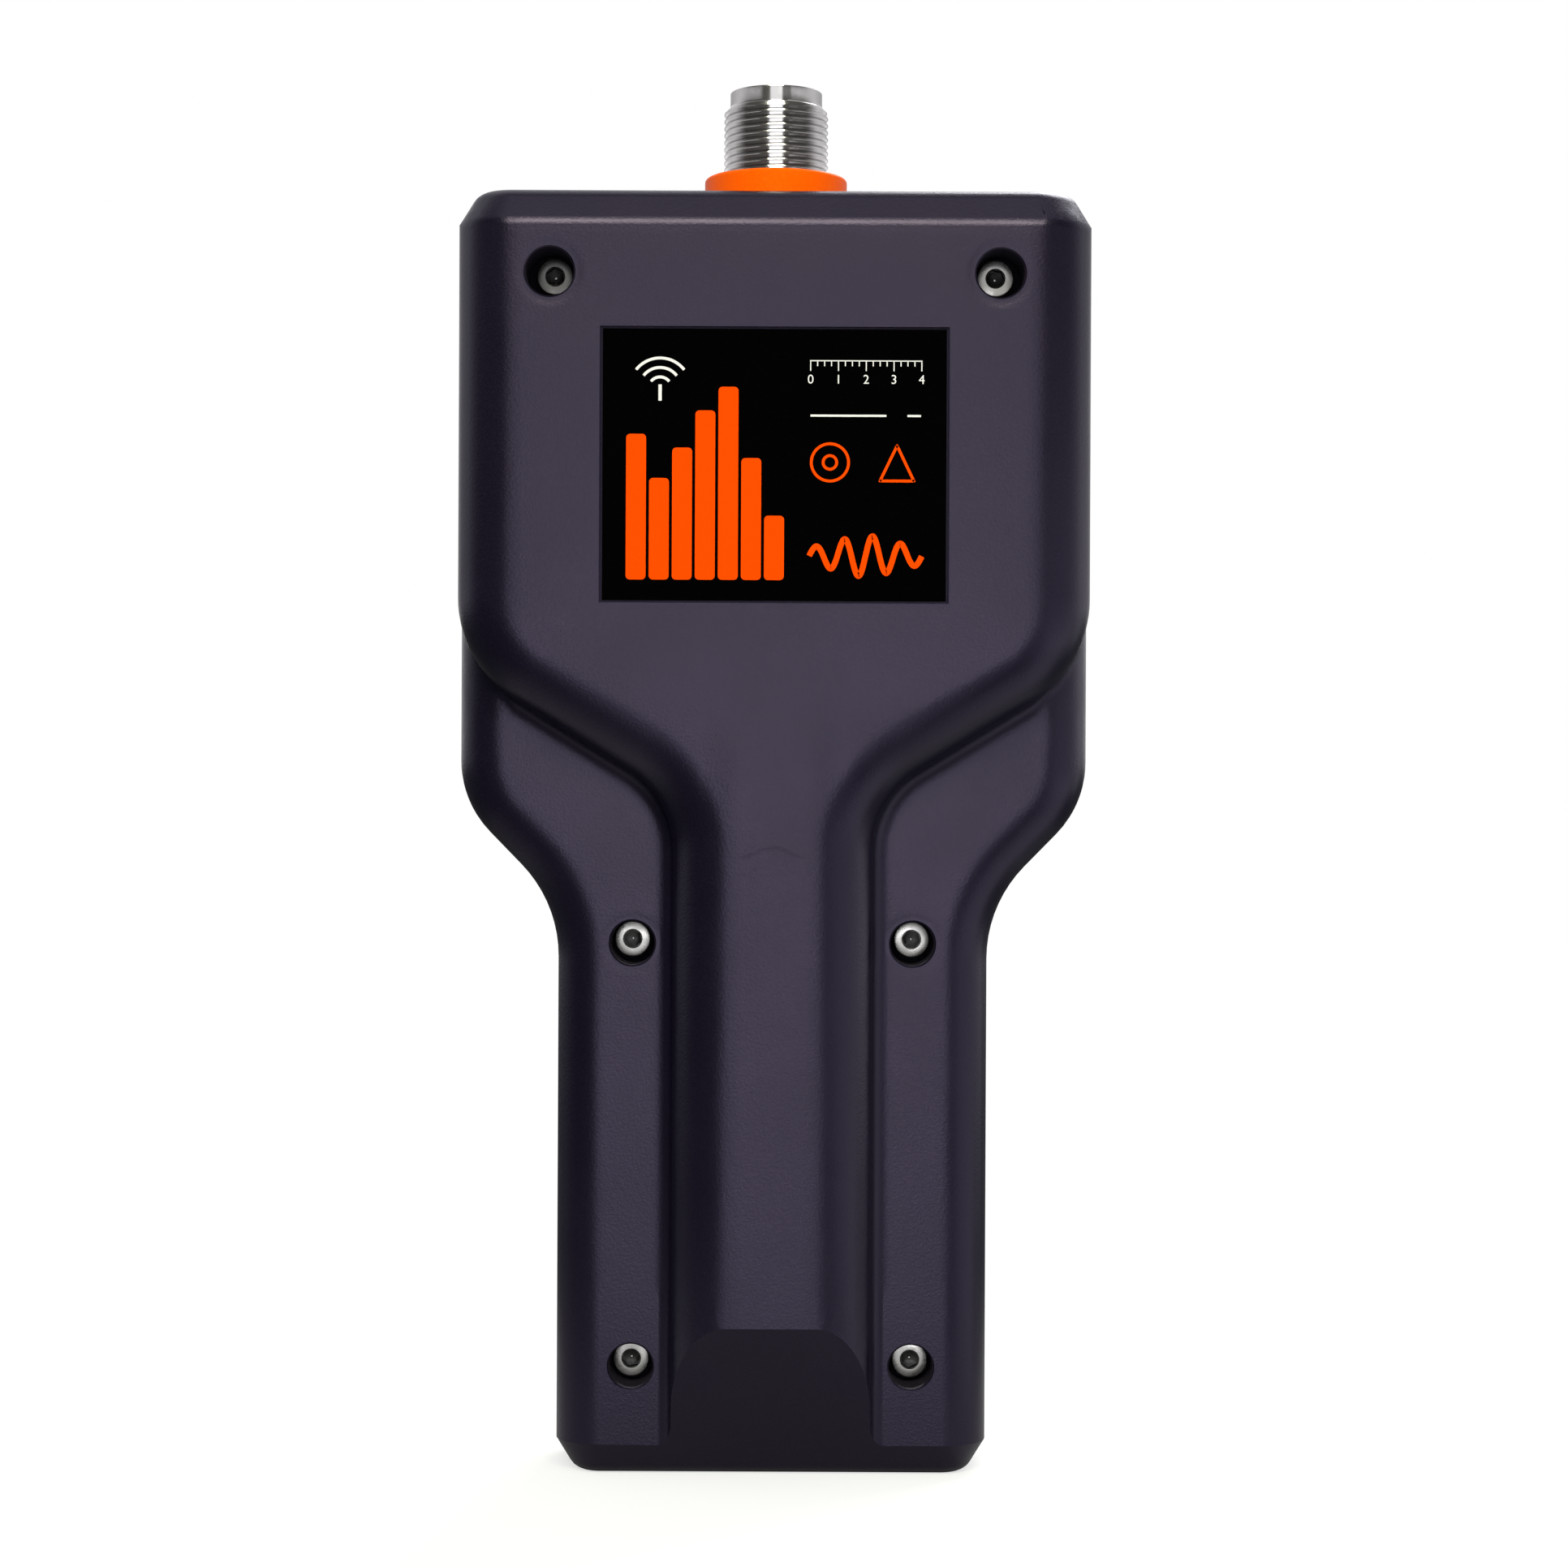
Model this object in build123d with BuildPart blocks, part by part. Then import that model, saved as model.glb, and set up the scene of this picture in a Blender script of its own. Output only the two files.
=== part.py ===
from build123d import *
from math import cos, radians, tan
import os

# A hand-held antenna and cable analyzer: a paddle-shaped two-part case with a wide head and a
# narrow handle. The back of the head runs down the handle as a raised ridge that holds the
# battery cell. A threaded coaxial socket stands on top in a coloured collar. The display and
# the rubber keys are on the front.
#
# Frame: +Z along the case with the origin under the middle of its bottom end, +Y to the back,
# -Y to the display side. The socket's axis is X = Y = 0. All sizes are in millimetres.

# Case outline, seen from the back
BODY_LENGTH = 193.2
HEAD_WIDTH = 96.1
HANDLE_WIDTH = 66.0
SHOULDER_LOW = 86.5
SHOULDER_HIGH = 101.9
SHOULDER_OUTER_RADIUS = 16.0
SHOULDER_INNER_RADIUS = 20.0
RIDGE_WIDTH = 31.2
RIDGE_LOW = 102.3
RIDGE_HIGH = 122.3
RIDGE_OUTER_RADIUS = 18.7
RIDGE_INNER_RADIUS = 13.3

# Case depths, measured from the socket's axis
BACK_DEPTH = 18.0
FLANGE_DROP = 12.0
PARTING_DEPTH = 5.5
FRONT_DEPTH = 17.0
DRAFT = 2.5

# Case edges and walls
BACK_ROUND = 8.3
FLANGE_ROUND = 7.0
FRONT_ROUND = 4.0
FOOT_FILLET = 2.0
FOOT_EMBED = 0.4
FOOT_TIP = 0.4
FOOT_RUNOUT = 0.3
END_CHAMFER_LENGTH = 4.9
END_CHAMFER_DEPTH = 3.0
END_ROUND = 3.0
WALL = 2.8
FACE_WALL = 2.6
END_WALL = 4.6

# Case screws: M3 socket cap screws in wells, into brass inserts
SCREW_RADIUS = 1.5
HEAD_RADIUS = 2.75
HEAD_HEIGHT = 3.0
HEX_WIDTH = 2.5
HEX_DEPTH = 1.6
HEAD_BEVEL = 0.3
TOP_SCREW_LENGTH = 20.0
LOWER_SCREW_LENGTH = 8.0
POST_BORE_DEPTH = 7.0
SCREW_HOLE_RADIUS = 1.7
INSERT_RADIUS = 2.3
INSERT_LENGTH = 5.0
INSERT_BORE = 1.55
POST_RADIUS = 3.5
WELL_FLOOR = 2.3
BOSS_WALL = 2.2
WELL_RIM = 0.25
TOP_WELL_RADIUS = 3.6
TOP_WELL_DEPTH = 9.5
TOP_SCREW_INSET_X = 14.75
TOP_SCREW_INSET_Z = 12.8
LOWER_WELL_RADIUS = 3.35
LOWER_SCREW_GAP = 5.57
MID_SCREW_Z = 80.8
BOTTOM_SCREW_Z = 16.8

# Coaxial socket with a 5/8-24 thread, and its collar
THREAD_RADIUS = 7.94
THREAD_RISE = 0.2
NECK_RADIUS = 7.4
PILOT_RADIUS = 7.0
PILOT_LENGTH = 2.4
SOCKET_HEIGHT = 17.3
MOUTH_RADIUS = 4.25
MOUTH_DEPTH = 4.4
SOCKET_BORE = 3.9
SOCKET_DEPTH = 9.1
CONTACT_RADIUS = 1.5
CONTACT_BORE = 0.8
CONTACT_BORE_DEPTH = 5.0
CONTACT_INSET = 4.9
SOCKET_FLANGE = 20.0
SOCKET_FLANGE_THICKNESS = 2.5
STUB_RADIUS = 5.0
STUB_LENGTH = 4.9
FIT = 0.02
COLLAR_RADIUS = 10.85
COLLAR_HEIGHT = 4.1
COLLAR_ROUND = 0.6
COLLAR_GAP = 0.3
THREAD_GAP = 0.26
THREAD_BEVEL = 0.8
MOUTH_BEVEL = 0.3
CARRIER_THICKNESS = 5.0
CARRIER_WIDTH = 28.0
CARRIER_FRONT = 11.5
CARRIER_BACK = 12.5
CARRIER_GAP = 0.2
EAR_RADIUS = 5.0
ARM_DEPTH = 5.0
FLANGE_SCREW_PITCH = 15.2
FLANGE_SCREW_RADIUS = 1.25
FLANGE_HEAD_RADIUS = 2.2
FLANGE_HEAD_HEIGHT = 1.6
FLANGE_SCREW_GRIP = 3.6
FLANGE_HOLE_GAP = 0.15
SLOT_WIDTH = 0.3
SLOT_DEPTH = 4.0

# Rating label
LABEL_WIDTH = 50.75
LABEL_HEIGHT = 40.1
LABEL_TOP_GAP = 21.15
LABEL_THICKNESS = 0.25
LABEL_CLEARANCE = 0.32
LABEL_RECESS = 0.5

# Display, behind a window in the front cover
WINDOW_WIDTH = 82.0
WINDOW_HEIGHT = 58.0
WINDOW_TOP_GAP = 17.2
WINDOW_THICKNESS = 1.2
WINDOW_CORNER = 4.0
WINDOW_CLEARANCE = 0.15
WINDOW_LEDGE = 4.0
TAPE_GAP = 0.5
TAPE_THICKNESS = 0.3
LCD_BORDER = 1.5
LCD_THICKNESS = 2.4
LCD_GAP = 0.3
LCD_PAD_WIDTH = 6.0
LCD_PAD_LENGTH = 44.0
LCD_PAD_INSET = 4.0
FLEX_WIDTH = 20.0
FLEX_THICKNESS = 0.2
FLEX_PLUG_HEIGHT = 2.0
FLEX_PLUG_THICKNESS = 0.9
FLEX_PLUG_GAP = 1.2

# Main board and what it carries
BOARD_THICKNESS = 1.6
BOARD_DEPTH = 11.0
BOARD_GAP = 0.5
BOARD_HOLE_GAP = 0.4
BOARD_NOTCH_WIDTH = 30.0
BOARD_NOTCH_DEPTH = 14.6
BOARD_POST_RADIUS = 2.5
BOARD_SCREW_RADIUS = 1.0
BOARD_SCREW_HEAD = 2.0
BOARD_SCREW_HEAD_HEIGHT = 1.4
BOARD_SCREW_GRIP = 2.6
BOARD_SCREW_GAP = 0.15
BOARD_END_GAP = 1.0
BOARD_SCREW_INSET = 6.5
HEAD_SCREW_SHIFT = 1.0
UPPER_BOARD_SCREW_RISE = 11.6
LOWER_BOARD_SCREW_Z = 27.5
SHIELD_WIDTH = 34.0
SHIELD_HEIGHT = 27.0
SHIELD_DEPTH = 4.0
SHIELD_SHEET = 0.4
SHIELD_GAP = 1.0
PLUG_WIDTH = 4.0
PLUG_HEIGHT = 4.5
PLUG_DEPTH = 4.6
COAX_RADIUS = 1.1
COAX_OFFSET = 3.2
COAX_EXIT = 11.5
COAX_ENTRY = 9.0
FERRULE_RADIUS = 2.2
FERRULE_LENGTH = 3.5
BUZZER_RADIUS = 6.0
BUZZER_DEPTH = 3.0
BUZZER_INSET = 15.05
BUZZER_RISE = 3.0

# USB-C socket in the head's side
USB_WIDTH = 9.0
USB_DEPTH = 3.2
USB_LENGTH = 7.4
USB_RISE = 0.4
USB_CAVITY = 6.6
USB_TONGUE_WIDTH = 6.7
USB_TONGUE_LENGTH = 5.5
USB_SHEET = 0.3
USB_TONGUE = 0.7
USB_GAP = 0.3
USB_INSET = 2.0
USB_DROP = 53.2

# Keys
KEY_WIDTH = 12.4
KEY_HEIGHT = 8.2
KEY_CORNER = 2.4
KEY_ROUND = 0.7
OK_RADIUS = 5.2
KEY_PROUD = 1.0
KEY_GAP = 0.3
KEY_RIM = 0.8
KEY_RIM_THICKNESS = 1.0
KEY_PLAY = 0.3
KEY_TRAVEL = 0.8
PILL_RADIUS = 2.2
PILL_GAP = 0.15
KEY_PITCH_X = 16.0
KEY_PITCH_Z = 12.0
NAV_DROP = 19.0
SIDE_KEY_RISE = 1.1
GRID_TOP_GAP = 9.8
POWER_KEY_Z = 20.0
MAT_THICKNESS = 0.8
MAT_HOLE_GAP = 0.6
MAT_END_GAP = 3.0
DOME_RADIUS = 3.0
DOME_THICKNESS = 0.35
LIGHT_RADIUS = 1.4
LIGHT_GAP = 0.1
LIGHT_RIM = 0.7
LIGHT_RIM_THICKNESS = 1.0
LIGHT_X = 11.5

# Battery cell and its holder, in the ridge
CELL_RADIUS = 9.25
CELL_LENGTH = 65.0
CELL_NUB_RADIUS = 2.9
CELL_NUB_LENGTH = 0.8
CELL_Z = 28.0
PAD_THICKNESS = 1.3
BATTERY_PAD_WIDTH = 8.0
BATTERY_PAD_LENGTH = 40.0
HOLDER_WIDTH = 22.0
HOLDER_GAP = 0.3
HOLDER_RISE = 2.0
HOLDER_END_RISE = 8.0
HOLDER_END_WALL = 2.2
CONTACT_PLATE = 0.5
CONTACT_BUMP = 0.9
CONTACT_BUMP_RADIUS = 2.5
CONTACT_PLATE_WIDTH = 9.0

# Gasket between the covers
SEAL_INSET = 0.9
SEAL_WIDTH = 1.0
SEAL_DEPTH = 0.8
SEAL_END_INSET = 2.0
SEAL_CORNER = 6.0

# Chips on the board's back: side, place in from the head's side, place above the window's middle,
# width, height, thickness
CHIPS = {
    "processor": (-1, 20.05, -18.0, 12.0, 12.0, 1.2),
    "memory": (-1, 20.05, -2.0, 10.0, 8.0, 1.0),
    "radio": (-1, 16.05, 14.0, 12.0, 16.0, 1.8),
    "charger": (1, 22.05, -30.0, 5.0, 5.0, 0.9),
    "inductor": (1, 22.05, -22.0, 5.0, 5.0, 2.4),
}

# Levels and places that follow from the sizes above
BACK_Y = BACK_DEPTH
FLANGE_Y = BACK_Y - FLANGE_DROP
PARTING_Y = -PARTING_DEPTH
FRONT_Y = -FRONT_DEPTH
BACK_INSIDE_Y = BACK_Y - WALL
FLANGE_INSIDE_Y = FLANGE_Y - WALL
FACE_INSIDE_Y = FRONT_Y + FACE_WALL
BOARD_FRONT_Y = -BOARD_DEPTH
BOARD_BACK_Y = BOARD_FRONT_Y + BOARD_THICKNESS
TOP_INSIDE_Z = BODY_LENGTH - END_WALL
LABEL_Z = BODY_LENGTH - LABEL_TOP_GAP - LABEL_HEIGHT / 2
WINDOW_Z = BODY_LENGTH - WINDOW_TOP_GAP - WINDOW_HEIGHT / 2
WINDOW_BOTTOM_Z = WINDOW_Z - WINDOW_HEIGHT / 2
NAV_Z = WINDOW_BOTTOM_Z - NAV_DROP
GRID_TOP_Z = MID_SCREW_Z - GRID_TOP_GAP
USB_Z = BODY_LENGTH - USB_DROP
TOP_SCREW_X = HEAD_WIDTH / 2 - TOP_SCREW_INSET_X
TOP_SCREW_Z = BODY_LENGTH - TOP_SCREW_INSET_Z
LOWER_SCREW_X = RIDGE_WIDTH / 2 + LOWER_SCREW_GAP
TOP_FLOOR_Y = BACK_Y - TOP_WELL_DEPTH
LOWER_FLOOR_Y = PARTING_Y + WELL_FLOOR
EAR_TOP_Y = TOP_FLOOR_Y - WELL_FLOOR
FLANGE_TOP_Z = RIDGE_HIGH + RIDGE_OUTER_RADIUS
PLATE_TOP_Z = TOP_INSIDE_Z - CARRIER_GAP
PLATE_BOTTOM_Z = PLATE_TOP_Z - CARRIER_THICKNESS
SOCKET_RIM_Z = BODY_LENGTH + SOCKET_HEIGHT
SOCKET_FLANGE_Z = PLATE_BOTTOM_Z - SOCKET_FLANGE_THICKNESS
COLLAR_TOP_Z = BODY_LENGTH + COLLAR_HEIGHT
THREAD_Z = COLLAR_TOP_Z + THREAD_RISE
STUB_Z = SOCKET_FLANGE_Z - STUB_LENGTH
OPENING_WIDTH = WINDOW_WIDTH - 2 * WINDOW_LEDGE
OPENING_HEIGHT = WINDOW_HEIGHT - 2 * WINDOW_LEDGE
LCD_WIDTH = OPENING_WIDTH + 2 * LCD_BORDER
LCD_HEIGHT = OPENING_HEIGHT + 2 * LCD_BORDER
LCD_FRONT_Y = FACE_INSIDE_Y + LCD_GAP
LCD_BACK_Y = LCD_FRONT_Y + LCD_THICKNESS
LCD_BOTTOM_Z = WINDOW_Z - LCD_HEIGHT / 2
FLEX_PLUG_Z = LCD_BOTTOM_Z - FLEX_PLUG_GAP - FLEX_PLUG_HEIGHT / 2
BOARD_TOP_Z = TOP_INSIDE_Z - BOARD_END_GAP
BOARD_BOTTOM_Z = END_WALL + BOARD_END_GAP
USB_Y = (BOARD_FRONT_Y + BOARD_BACK_Y) / 2 + USB_RISE
USB_MOUTH_X = HEAD_WIDTH / 2 - USB_INSET
PLUG_TOP_Z = WINDOW_Z
PLUG_BOTTOM_Z = PLUG_TOP_Z - PLUG_HEIGHT
SHIELD_Z = PLUG_BOTTOM_Z - SHIELD_GAP - SHIELD_HEIGHT / 2
KEY_TOP_Y = FRONT_Y - KEY_PROUD
RIM_BACK_Y = FACE_INSIDE_Y + KEY_PLAY + KEY_RIM_THICKNESS
PILL_LENGTH = BOARD_FRONT_Y - DOME_THICKNESS - PILL_GAP - KEY_TRAVEL - RIM_BACK_Y
CELL_Y = BACK_INSIDE_Y - PAD_THICKNESS - CELL_RADIUS
CELL_TOP_Z = CELL_Z + CELL_LENGTH
CELL_MIDDLE_Z = (CELL_Z + CELL_TOP_Z) / 2
CONTACT_STACK = CONTACT_BUMP + CONTACT_PLATE

TOP_SCREWS = [(side * TOP_SCREW_X, TOP_SCREW_Z) for side in (-1, 1)]
LOWER_SCREWS = [(side * LOWER_SCREW_X, z) for z in (MID_SCREW_Z, BOTTOM_SCREW_Z) for side in (-1, 1)]
ALL_SCREWS = TOP_SCREWS + LOWER_SCREWS

BOARD_SCREWS = [
    (side * x, z)
    for x, z in (
        (HEAD_WIDTH / 2 - BOARD_SCREW_INSET - HEAD_SCREW_SHIFT, SHOULDER_HIGH + UPPER_BOARD_SCREW_RISE),
        (HANDLE_WIDTH / 2 - BOARD_SCREW_INSET, LOWER_BOARD_SCREW_Z),
    )
    for side in (-1, 1)
]
FLANGE_SCREWS = [
    (x * FLANGE_SCREW_PITCH / 2, y * FLANGE_SCREW_PITCH / 2) for x in (-1, 1) for y in (-1, 1)
]
SHARP = 1e-3

# Keys by name, with the places of their middles
KEYS = {
    "key_up": (0, NAV_Z + KEY_PITCH_Z),
    "key_left": (-KEY_PITCH_X, NAV_Z),
    "key_ok": (0, NAV_Z),
    "key_right": (KEY_PITCH_X, NAV_Z),
    "key_down": (0, NAV_Z - KEY_PITCH_Z),
    "key_menu": (-2 * KEY_PITCH_X, SHOULDER_HIGH + SIDE_KEY_RISE),
    "key_back": (2 * KEY_PITCH_X, SHOULDER_HIGH + SIDE_KEY_RISE),
    "key_power": (0, POWER_KEY_Z),
}
GRID_ROWS = (
    ("key_1", "key_2", "key_3"),
    ("key_4", "key_5", "key_6"),
    ("key_7", "key_8", "key_9"),
    ("key_dot", "key_0", "key_erase"),
)
for row, names in enumerate(GRID_ROWS):
    for column, key_name in enumerate(names):
        KEYS[key_name] = ((column - 1) * KEY_PITCH_X, GRID_TOP_Z - row * KEY_PITCH_Z)


def back_plane(y):
    """Sketch plane that faces the back at depth y: its own y is Z."""
    return Plane(origin=(0, y, 0), x_dir=(-1, 0, 0), z_dir=(0, 1, 0))


def front_plane(y):
    """Sketch plane that faces the front at depth y: its own x and y are X and Z."""
    return Plane(origin=(0, y, 0), x_dir=(1, 0, 0), z_dir=(0, -1, 0))


def level_plane(z):
    """Horizontal sketch plane at height z: its own x and y are X and Y."""
    return Plane.XY.offset(z)


def outline(narrow, low, high, outer_radius, inner_radius, inset):
    """Sketch of a head that narrows over shoulders, run out past both ends of the case."""
    over = 2 * BACK_ROUND
    with BuildSketch() as shape:
        with BuildLine():
            half = Polyline(
                (0, -over),
                (narrow / 2, -over),
                (narrow / 2, low),
                (HEAD_WIDTH / 2, high),
                (HEAD_WIDTH / 2, BODY_LENGTH + over),
                (0, BODY_LENGTH + over),
            )
            mirror(half, about=Plane.YZ)
        make_face()
        fillet(shape.vertices().filter_by_position(Axis.Y, low - SHARP, low + SHARP), inner_radius)
        fillet(shape.vertices().filter_by_position(Axis.Y, high - SHARP, high + SHARP), outer_radius)
        if inset:
            offset(amount=-inset)
    return shape.sketch


def paddle_outline(inset=0.0):
    """Outline of the whole case at the parting plane."""
    return outline(
        HANDLE_WIDTH, SHOULDER_LOW, SHOULDER_HIGH, SHOULDER_OUTER_RADIUS, SHOULDER_INNER_RADIUS, inset
    )


def raised_outline(inset=0.0):
    """Outline of the raised head and ridge, taken down to the parting plane."""
    return outline(RIDGE_WIDTH, RIDGE_LOW, RIDGE_HIGH, RIDGE_OUTER_RADIUS, RIDGE_INNER_RADIUS, inset)


def flat_outline(inset, low, high):
    """Case outline cut off at two heights, for boards, mats and seals."""
    with BuildSketch() as shape:
        add(paddle_outline(inset))
        with Locations((0, (low + high) / 2)):
            Rectangle(HEAD_WIDTH, high - low, mode=Mode.INTERSECT)
    return shape.sketch


def drafted(profile, plane, depth, rounding, low, high):
    """Profile raised with draft, rounded at its top edge and cut off square at both ends."""
    with BuildPart() as form:
        with BuildSketch(plane):
            add(profile)
        extrude(amount=depth, taper=DRAFT)
        top = form.faces().sort_by(Axis(plane.origin, plane.z_dir))[-1]
        fillet(top.edges(), rounding)
        with Locations((0, 0, (low + high) / 2)):
            Box(2 * HEAD_WIDTH, 2 * HEAD_WIDTH, high - low, mode=Mode.INTERSECT)
    return form.part


def end_finished(form, z):
    """Form with the rim of its end face at height z chamfered and rounded."""
    with BuildPart() as finished:
        add(form)
        for rounding in (False, True):
            end = finished.faces().filter_by(Axis.Z).filter_by_position(Axis.Z, z - SHARP, z + SHARP)[0]
            rim = [edge for edge in end.edges() if abs(edge.center().Y - PARTING_Y) > SHARP]
            if rounding:
                fillet(rim, END_ROUND)
            else:
                chamfer(rim, length=END_CHAMFER_DEPTH, length2=END_CHAMFER_LENGTH, reference=end)
    return finished.part


def cut_plane(depth):
    """Plane of the slanted cut, moved into the case by a depth."""
    normal = Vector(0, END_CHAMFER_LENGTH, -END_CHAMFER_DEPTH).normalized()
    origin = Vector(0, FLANGE_Y, END_CHAMFER_LENGTH) - normal * depth
    return Plane(origin=origin, x_dir=(1, 0, 0), z_dir=normal)


def section_plane(edge, position, drop):
    """Plane across an edge of the foot's line: x leads away from the ridge, y to the back."""
    tangent = edge % position
    outward = Vector(0, 1, 0).cross(tangent)
    return Plane(origin=(edge @ position) - Vector(0, drop, 0), x_dir=outward, z_dir=tangent)


def foot_section(plane, radius):
    """Section of the concave fillet between the ridge's wall and the flange."""
    lean = radius * tan(radians(DRAFT))
    waist = radius * (1 - cos(radians(45)))
    with BuildSketch(plane) as section:
        with BuildLine():
            ThreePointArc((radius, 0), (waist, waist), (-lean, radius))
            Polyline((-lean, radius), (-FOOT_EMBED, radius), (-FOOT_EMBED, -FOOT_EMBED))
            Polyline((-FOOT_EMBED, -FOOT_EMBED), (radius, -FOOT_EMBED), (radius, 0))
        make_face()
    return section.sketch


def foot_fillets():
    """Concave fillets along both sides of the ridge, fading where the flange's edge rounds off."""
    shrink = (FLANGE_Y - PARTING_Y) * tan(radians(DRAFT))
    foot = front_plane(FLANGE_Y) * raised_outline(shrink)
    right_side = foot.edges().filter_by(lambda edge: edge.center().X > SHARP)
    wall, bend, slope, corner = right_side.sort_by(Axis.Z)[:4]
    past_flat = (corner @ FOOT_RUNOUT).X - (HEAD_WIDTH / 2 - shrink - FLANGE_ROUND)
    drop = FLANGE_ROUND - (FLANGE_ROUND**2 - past_flat**2) ** 0.5
    start = foot_section(section_plane(wall, 0, 0), FOOT_FILLET)
    end = foot_section(section_plane(corner, 0, 0), FOOT_FILLET)
    tip = foot_section(section_plane(corner, FOOT_RUNOUT, drop), FOOT_TIP)
    with BuildPart() as feet:
        sweep(sections=start, path=Wire([wall, bend, slope]))
        loft(sections=[end, tip])
        mirror(about=Plane.YZ)
    return feet.part


def key_shape(name, grow):
    """Outline of a key at the sketch's origin, grown all round."""
    if name == "key_ok":
        Circle(OK_RADIUS + grow)
    else:
        RectangleRounded(KEY_WIDTH + 2 * grow, KEY_HEIGHT + 2 * grow, KEY_CORNER + grow)


def keep(piece, name):
    """Label a finished piece and write it."""
    piece.part.label = name
    export_step(piece.part, f"parts/{name}.step")


os.makedirs("parts", exist_ok=True)

# ---------------------------------------------------------------- covers

raised_form = end_finished(
    drafted(
        raised_outline(),
        back_plane(PARTING_Y),
        BACK_Y - PARTING_Y,
        BACK_ROUND,
        END_CHAMFER_LENGTH,
        BODY_LENGTH,
    ),
    BODY_LENGTH,
)
flange_form = end_finished(
    drafted(paddle_outline(), back_plane(PARTING_Y), FLANGE_Y - PARTING_Y, FLANGE_ROUND, 0, FLANGE_TOP_Z),
    0,
)
front_form = drafted(
    paddle_outline(), front_plane(PARTING_Y), PARTING_Y - FRONT_Y, FRONT_ROUND, 0, BODY_LENGTH
)
front_form = end_finished(end_finished(front_form, 0), BODY_LENGTH)
raised_cavity = drafted(
    raised_outline(WALL),
    back_plane(PARTING_Y),
    BACK_INSIDE_Y - PARTING_Y,
    BACK_ROUND - WALL,
    END_WALL,
    TOP_INSIDE_Z,
)
flange_cavity = drafted(
    paddle_outline(WALL),
    back_plane(PARTING_Y),
    FLANGE_INSIDE_Y - PARTING_Y,
    FLANGE_ROUND - WALL,
    END_WALL,
    RIDGE_HIGH,
)
front_cavity = drafted(
    paddle_outline(WALL),
    front_plane(PARTING_Y),
    PARTING_Y - FACE_INSIDE_Y,
    FRONT_ROUND - WALL,
    END_WALL,
    TOP_INSIDE_Z,
)

with BuildPart() as ridge_room:
    add(raised_cavity)
    split(bisect_by=cut_plane(WALL), keep=Keep.BOTTOM)

with BuildPart() as rear_cover:
    add(raised_form)
    add(foot_fillets())
    split(bisect_by=cut_plane(0), keep=Keep.BOTTOM)
    add(flange_form)
    add(ridge_room.part, mode=Mode.SUBTRACT)
    add(flange_cavity, mode=Mode.SUBTRACT)
    # bosses that carry the screw wells
    for places, outside, end, radius in (
        (TOP_SCREWS, BACK_Y, EAR_TOP_Y, TOP_WELL_RADIUS),
        (LOWER_SCREWS, FLANGE_Y, PARTING_Y, LOWER_WELL_RADIUS),
    ):
        with BuildSketch(front_plane(outside - WALL / 2)):
            with Locations(*places):
                Circle(radius + BOSS_WALL)
        extrude(amount=outside - WALL / 2 - end)
    for places, outside, floor, radius in (
        (TOP_SCREWS, BACK_Y, TOP_FLOOR_Y, TOP_WELL_RADIUS),
        (LOWER_SCREWS, FLANGE_Y, LOWER_FLOOR_Y, LOWER_WELL_RADIUS),
    ):
        with BuildSketch(front_plane(outside)):
            with Locations(*places):
                Circle(radius)
        extrude(amount=outside - floor, mode=Mode.SUBTRACT)
        with BuildSketch(front_plane(floor)):
            with Locations(*places):
                Circle(SCREW_HOLE_RADIUS)
        extrude(amount=floor - PARTING_Y, mode=Mode.SUBTRACT)
        rims = rear_cover.edges().filter_by(GeomType.CIRCLE)
        rims = rims.filter_by_position(Axis.Y, outside - SHARP, outside + SHARP)
        chamfer(rims.filter_by(lambda edge: abs(edge.radius - radius) < SHARP), WELL_RIM)
    with BuildSketch(front_plane(BACK_Y)):
        with Locations((0, LABEL_Z)):
            Rectangle(LABEL_WIDTH + 2 * LABEL_CLEARANCE, LABEL_HEIGHT + 2 * LABEL_CLEARANCE)
    extrude(amount=LABEL_RECESS, mode=Mode.SUBTRACT)
    with BuildSketch(level_plane(TOP_INSIDE_Z)):
        Circle(COLLAR_RADIUS + COLLAR_GAP)
    extrude(amount=END_WALL, mode=Mode.SUBTRACT)
keep(rear_cover, "rear_cover")


def seal_shape(grow):
    """Closed band that follows the rim between the covers."""
    low = SEAL_END_INSET
    high = BODY_LENGTH - SEAL_END_INSET
    with BuildSketch() as band:
        add(flat_outline(SEAL_INSET - grow, low - grow, high + grow))
        corners = band.vertices().filter_by_position(Axis.Y, low - grow - SHARP, low - grow + SHARP)
        corners += band.vertices().filter_by_position(Axis.Y, high + grow - SHARP, high + grow + SHARP)
        fillet(corners, SEAL_CORNER)
        inner = offset(band.sketch, amount=-(SEAL_WIDTH + 2 * grow), mode=Mode.PRIVATE)
        add(inner, mode=Mode.SUBTRACT)
    return band.sketch


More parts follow.
